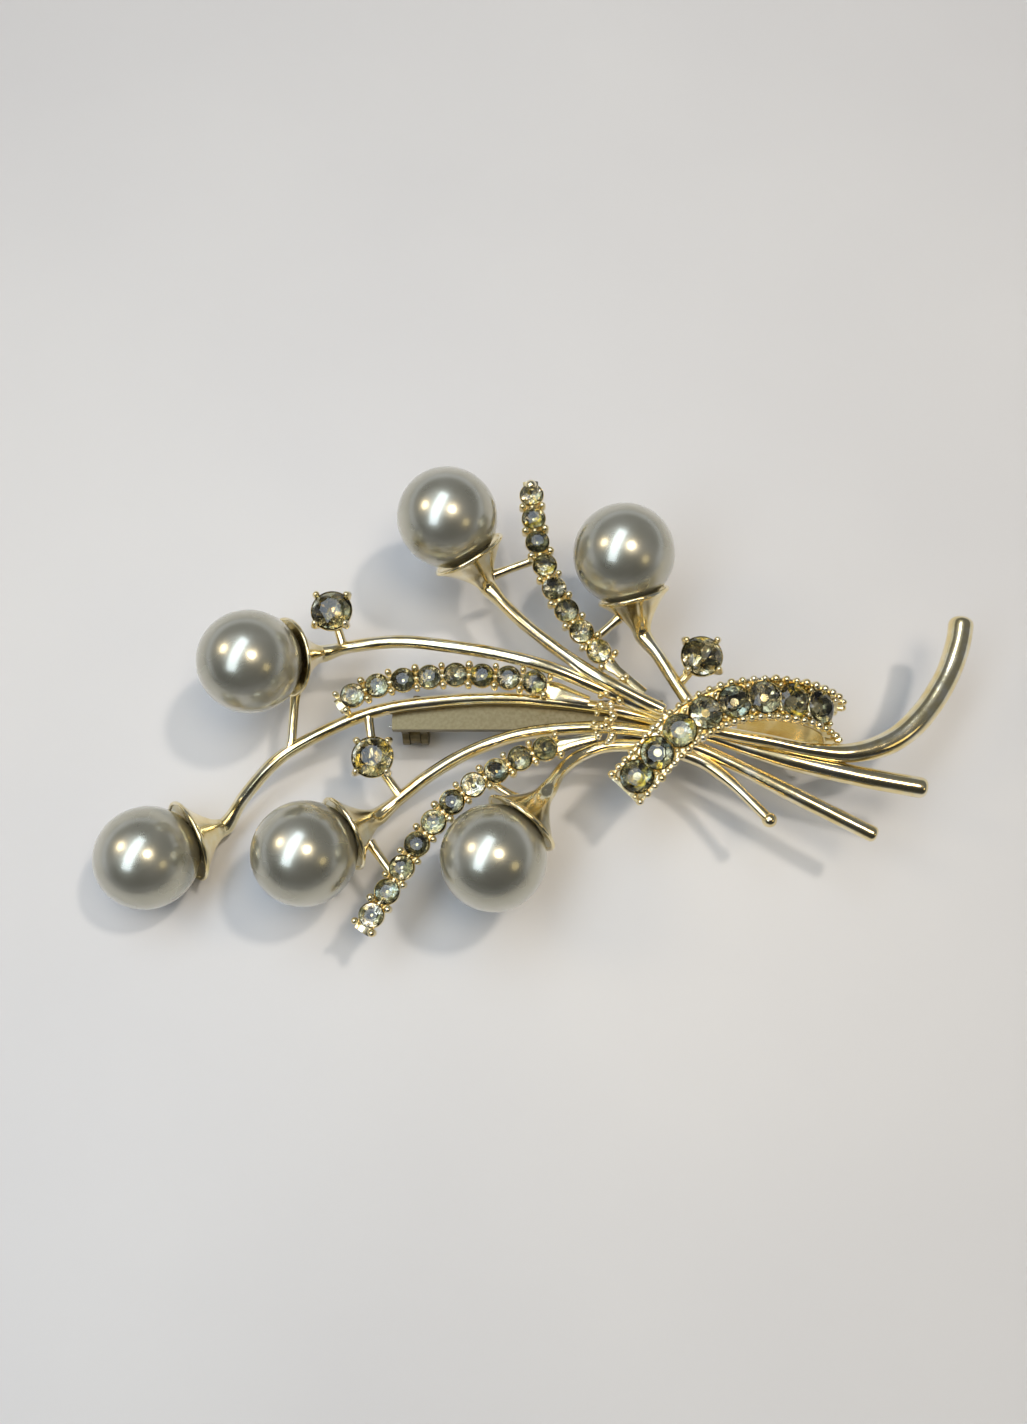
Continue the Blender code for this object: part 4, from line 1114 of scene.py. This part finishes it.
# %% [markdown]
# ## Pin back
#
# The back is plain stamped metal and wire, hidden when the brooch is worn. Bevelled copies could stand in
# for it, but the pin and the lock move in close clearances. So all four pieces keep their solids, which
# already move as they should, and only get their finishes.

# %% Finish the pin back
for name, finish in {
    "pin_back_bar": shade_painted_dull_gold,
    "hinge_rivet": shade_painted_dull_gold,
    "safety_lock": shade_painted_dull_gold,
    "pin_stem": steel,
}.items():
    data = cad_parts[name].data
    data.materials.clear()
    data.materials.append(finish)
    print(name, "is finished in", finish.name)

# %% Put the copied shapes away
for helper in (cut, sprig_seat, sprig_grain, ribbon_seat, claw, edge_grain, solder_grain):
    bpy.data.objects.remove(helper, do_unlink=True)

# %% [markdown]
# ## Floor, lamps and camera
#
# The brooch lies on a pale, smooth table. Two round warm lamps and a long cool window hang over it, with a
# weak lamp at the right. An even white sky would be simpler, but polished metal and pearls look alive only
# where bright and dark meet, so the room itself is dim. A small soft lamp that the metal doesn't mirror
# draws the shadows.

# %% Floor
TABLE_HALF = 1.5
TABLE_MOTTLE = 60 * MM

table_paint, tree, shader = new_material("pale_table", {"Roughness": 0.45})
place = add(tree, "ShaderNodeTexCoord").outputs["Object"]
mottle = add(tree, "ShaderNodeTexNoise", inputs={"Vector": place, "Scale": 1 / TABLE_MOTTLE, "Detail": 4.0})
varied_by(mottle.outputs["Fac"], tree, shader, [(0.3, "CFCECC"), (0.7, "D5D4D1")])
data = bpy.data.meshes.new("table_top")
corners = [(x * TABLE_HALF, y * TABLE_HALF, 0.0) for x, y in ((-1, -1), (1, -1), (1, 1), (-1, 1))]
data.from_pydata(corners, [], [(0, 1, 2, 3)])
data.materials.append(table_paint)
table_top = into_scene("table_top", data)
print("the table is", 2 * TABLE_HALF, "m wide")


# %% Lamps
def lamp(name, place, width, power, text, length=None, runs=None):
    """An area lamp aimed at the brooch: round, or a strip whose length runs in a direction."""
    data = bpy.data.lights.new(name, "AREA")
    data.shape = "RECTANGLE" if length else "DISK"
    data.size = width
    if length:
        data.size_y = length
    data.energy = power
    data.color = colour(text)[:3]
    back = Vector(place).normalized()
    up = Vector(runs or (0.0, 1.0, 0.0))
    up = (up - back * up.dot(back)).normalized()
    turn = Matrix((up.cross(back), up, back)).transposed().to_4x4()
    made = into_scene(name, data)
    made.matrix_world = Matrix.Translation(place) @ turn
    return made


lamp("round_lamp_left", (-0.221, 0.062, 0.214), 0.085, 0.11, "FFE9C4")
lamp("round_lamp_over", (0.061, -0.011, 0.297), 0.095, 0.2, "FFEFD6")
lamp("dim_lamp_right", (0.203, -0.113, 0.179), 0.08, 0.02, "FFE7A8")
lamp("window", (-0.0925, 0.0035, 0.2475), 0.1, 0.38, "DCECFF", 0.38, (-0.14, -0.3, -0.02))
key = lamp("soft_key", (0.182, 0.106, 0.43), 0.04, 0.72, "FFF4E8")
key.visible_glossy = False
print("lamps:", len(bpy.data.lights))

# %% [markdown]
# The ceiling is brightest round the window and falls off to the sides. A picture of a room could light it,
# but a few sums on the direction do as well: a dot product with the window's direction gives the fall. The
# walls are pale, so the light rises again near the horizon, apart from the near side, where somebody stands
# in front of them. That side gives polished wire its dark lower edge.

# %% Room light
WINDOW_DIRECTION = Vector((-0.36, 0.16, 0.92))

world = bpy.data.worlds.new("dim_room")
world.use_nodes = True
bpy.context.scene.world = world
tree = world.node_tree
room = tree.nodes["Background"]
direction = add(tree, "ShaderNodeTexCoord").outputs["Generated"]
toward = add(
    tree, "ShaderNodeVectorMath", {"operation": "DOT_PRODUCT"}, {0: direction, 1: WINDOW_DIRECTION}
)
fall = add(
    tree,
    "ShaderNodeMapRange",
    {"interpolation_type": "SMOOTHSTEP"},
    {"Value": toward.outputs["Value"], "From Min": 0.76, "From Max": 0.99, "To Min": 0.16, "To Max": 0.72},
)
axes = add(tree, "ShaderNodeSeparateXYZ", inputs={"Vector": direction})
walls = add(
    tree,
    "ShaderNodeMapRange",
    {"interpolation_type": "SMOOTHSTEP"},
    {"Value": axes.outputs["Z"], "From Min": 0.1, "From Max": 0.38, "To Min": 0.72, "To Max": 0.0},
)
light = add(
    tree, "ShaderNodeMath", {"operation": "MAXIMUM"}, {0: fall.outputs["Result"], 1: walls.outputs["Result"]}
)
person = add(
    tree,
    "ShaderNodeMapRange",
    {"interpolation_type": "SMOOTHSTEP"},
    {"Value": axes.outputs["Y"], "From Min": -0.6, "From Max": -0.1, "To Min": 0.25, "To Max": 1.0},
)
shaded = add(
    tree, "ShaderNodeMath", {"operation": "MULTIPLY"}, {0: light.outputs["Value"], 1: person.outputs["Result"]}
)
tree.links.new(shaded.outputs["Value"], room.inputs["Strength"])
room.inputs["Color"].default_value = colour("E8EEFA")
print("the room has", len(tree.nodes), "nodes")

# %% [markdown]
# The camera stands close over the brooch with a short lens, leaning back a little, as a hand holds it. A
# longer lens from farther off would flatten the spray. Its aim is a drawn point on the table.

# %% Camera
LENS = 27.3
DISTANCE = 114.4 * MM
TILT = math.radians(15.0)
AIM = (-1.441, 1.258, 0.0)

eye = bpy.data.cameras.new("view")
eye.lens = LENS
eye.clip_start = 0.005
camera = into_scene("view", eye)
camera.location = spot(AIM) + DISTANCE * Vector((0.0, -math.sin(TILT), math.cos(TILT)))
camera.rotation_euler = (TILT, 0.0, 0.0)
bpy.context.scene.camera = camera
bpy.context.scene.view_settings.view_transform = "Standard"
print("camera at", [round(value / MM, 1) for value in camera.location], "mm")
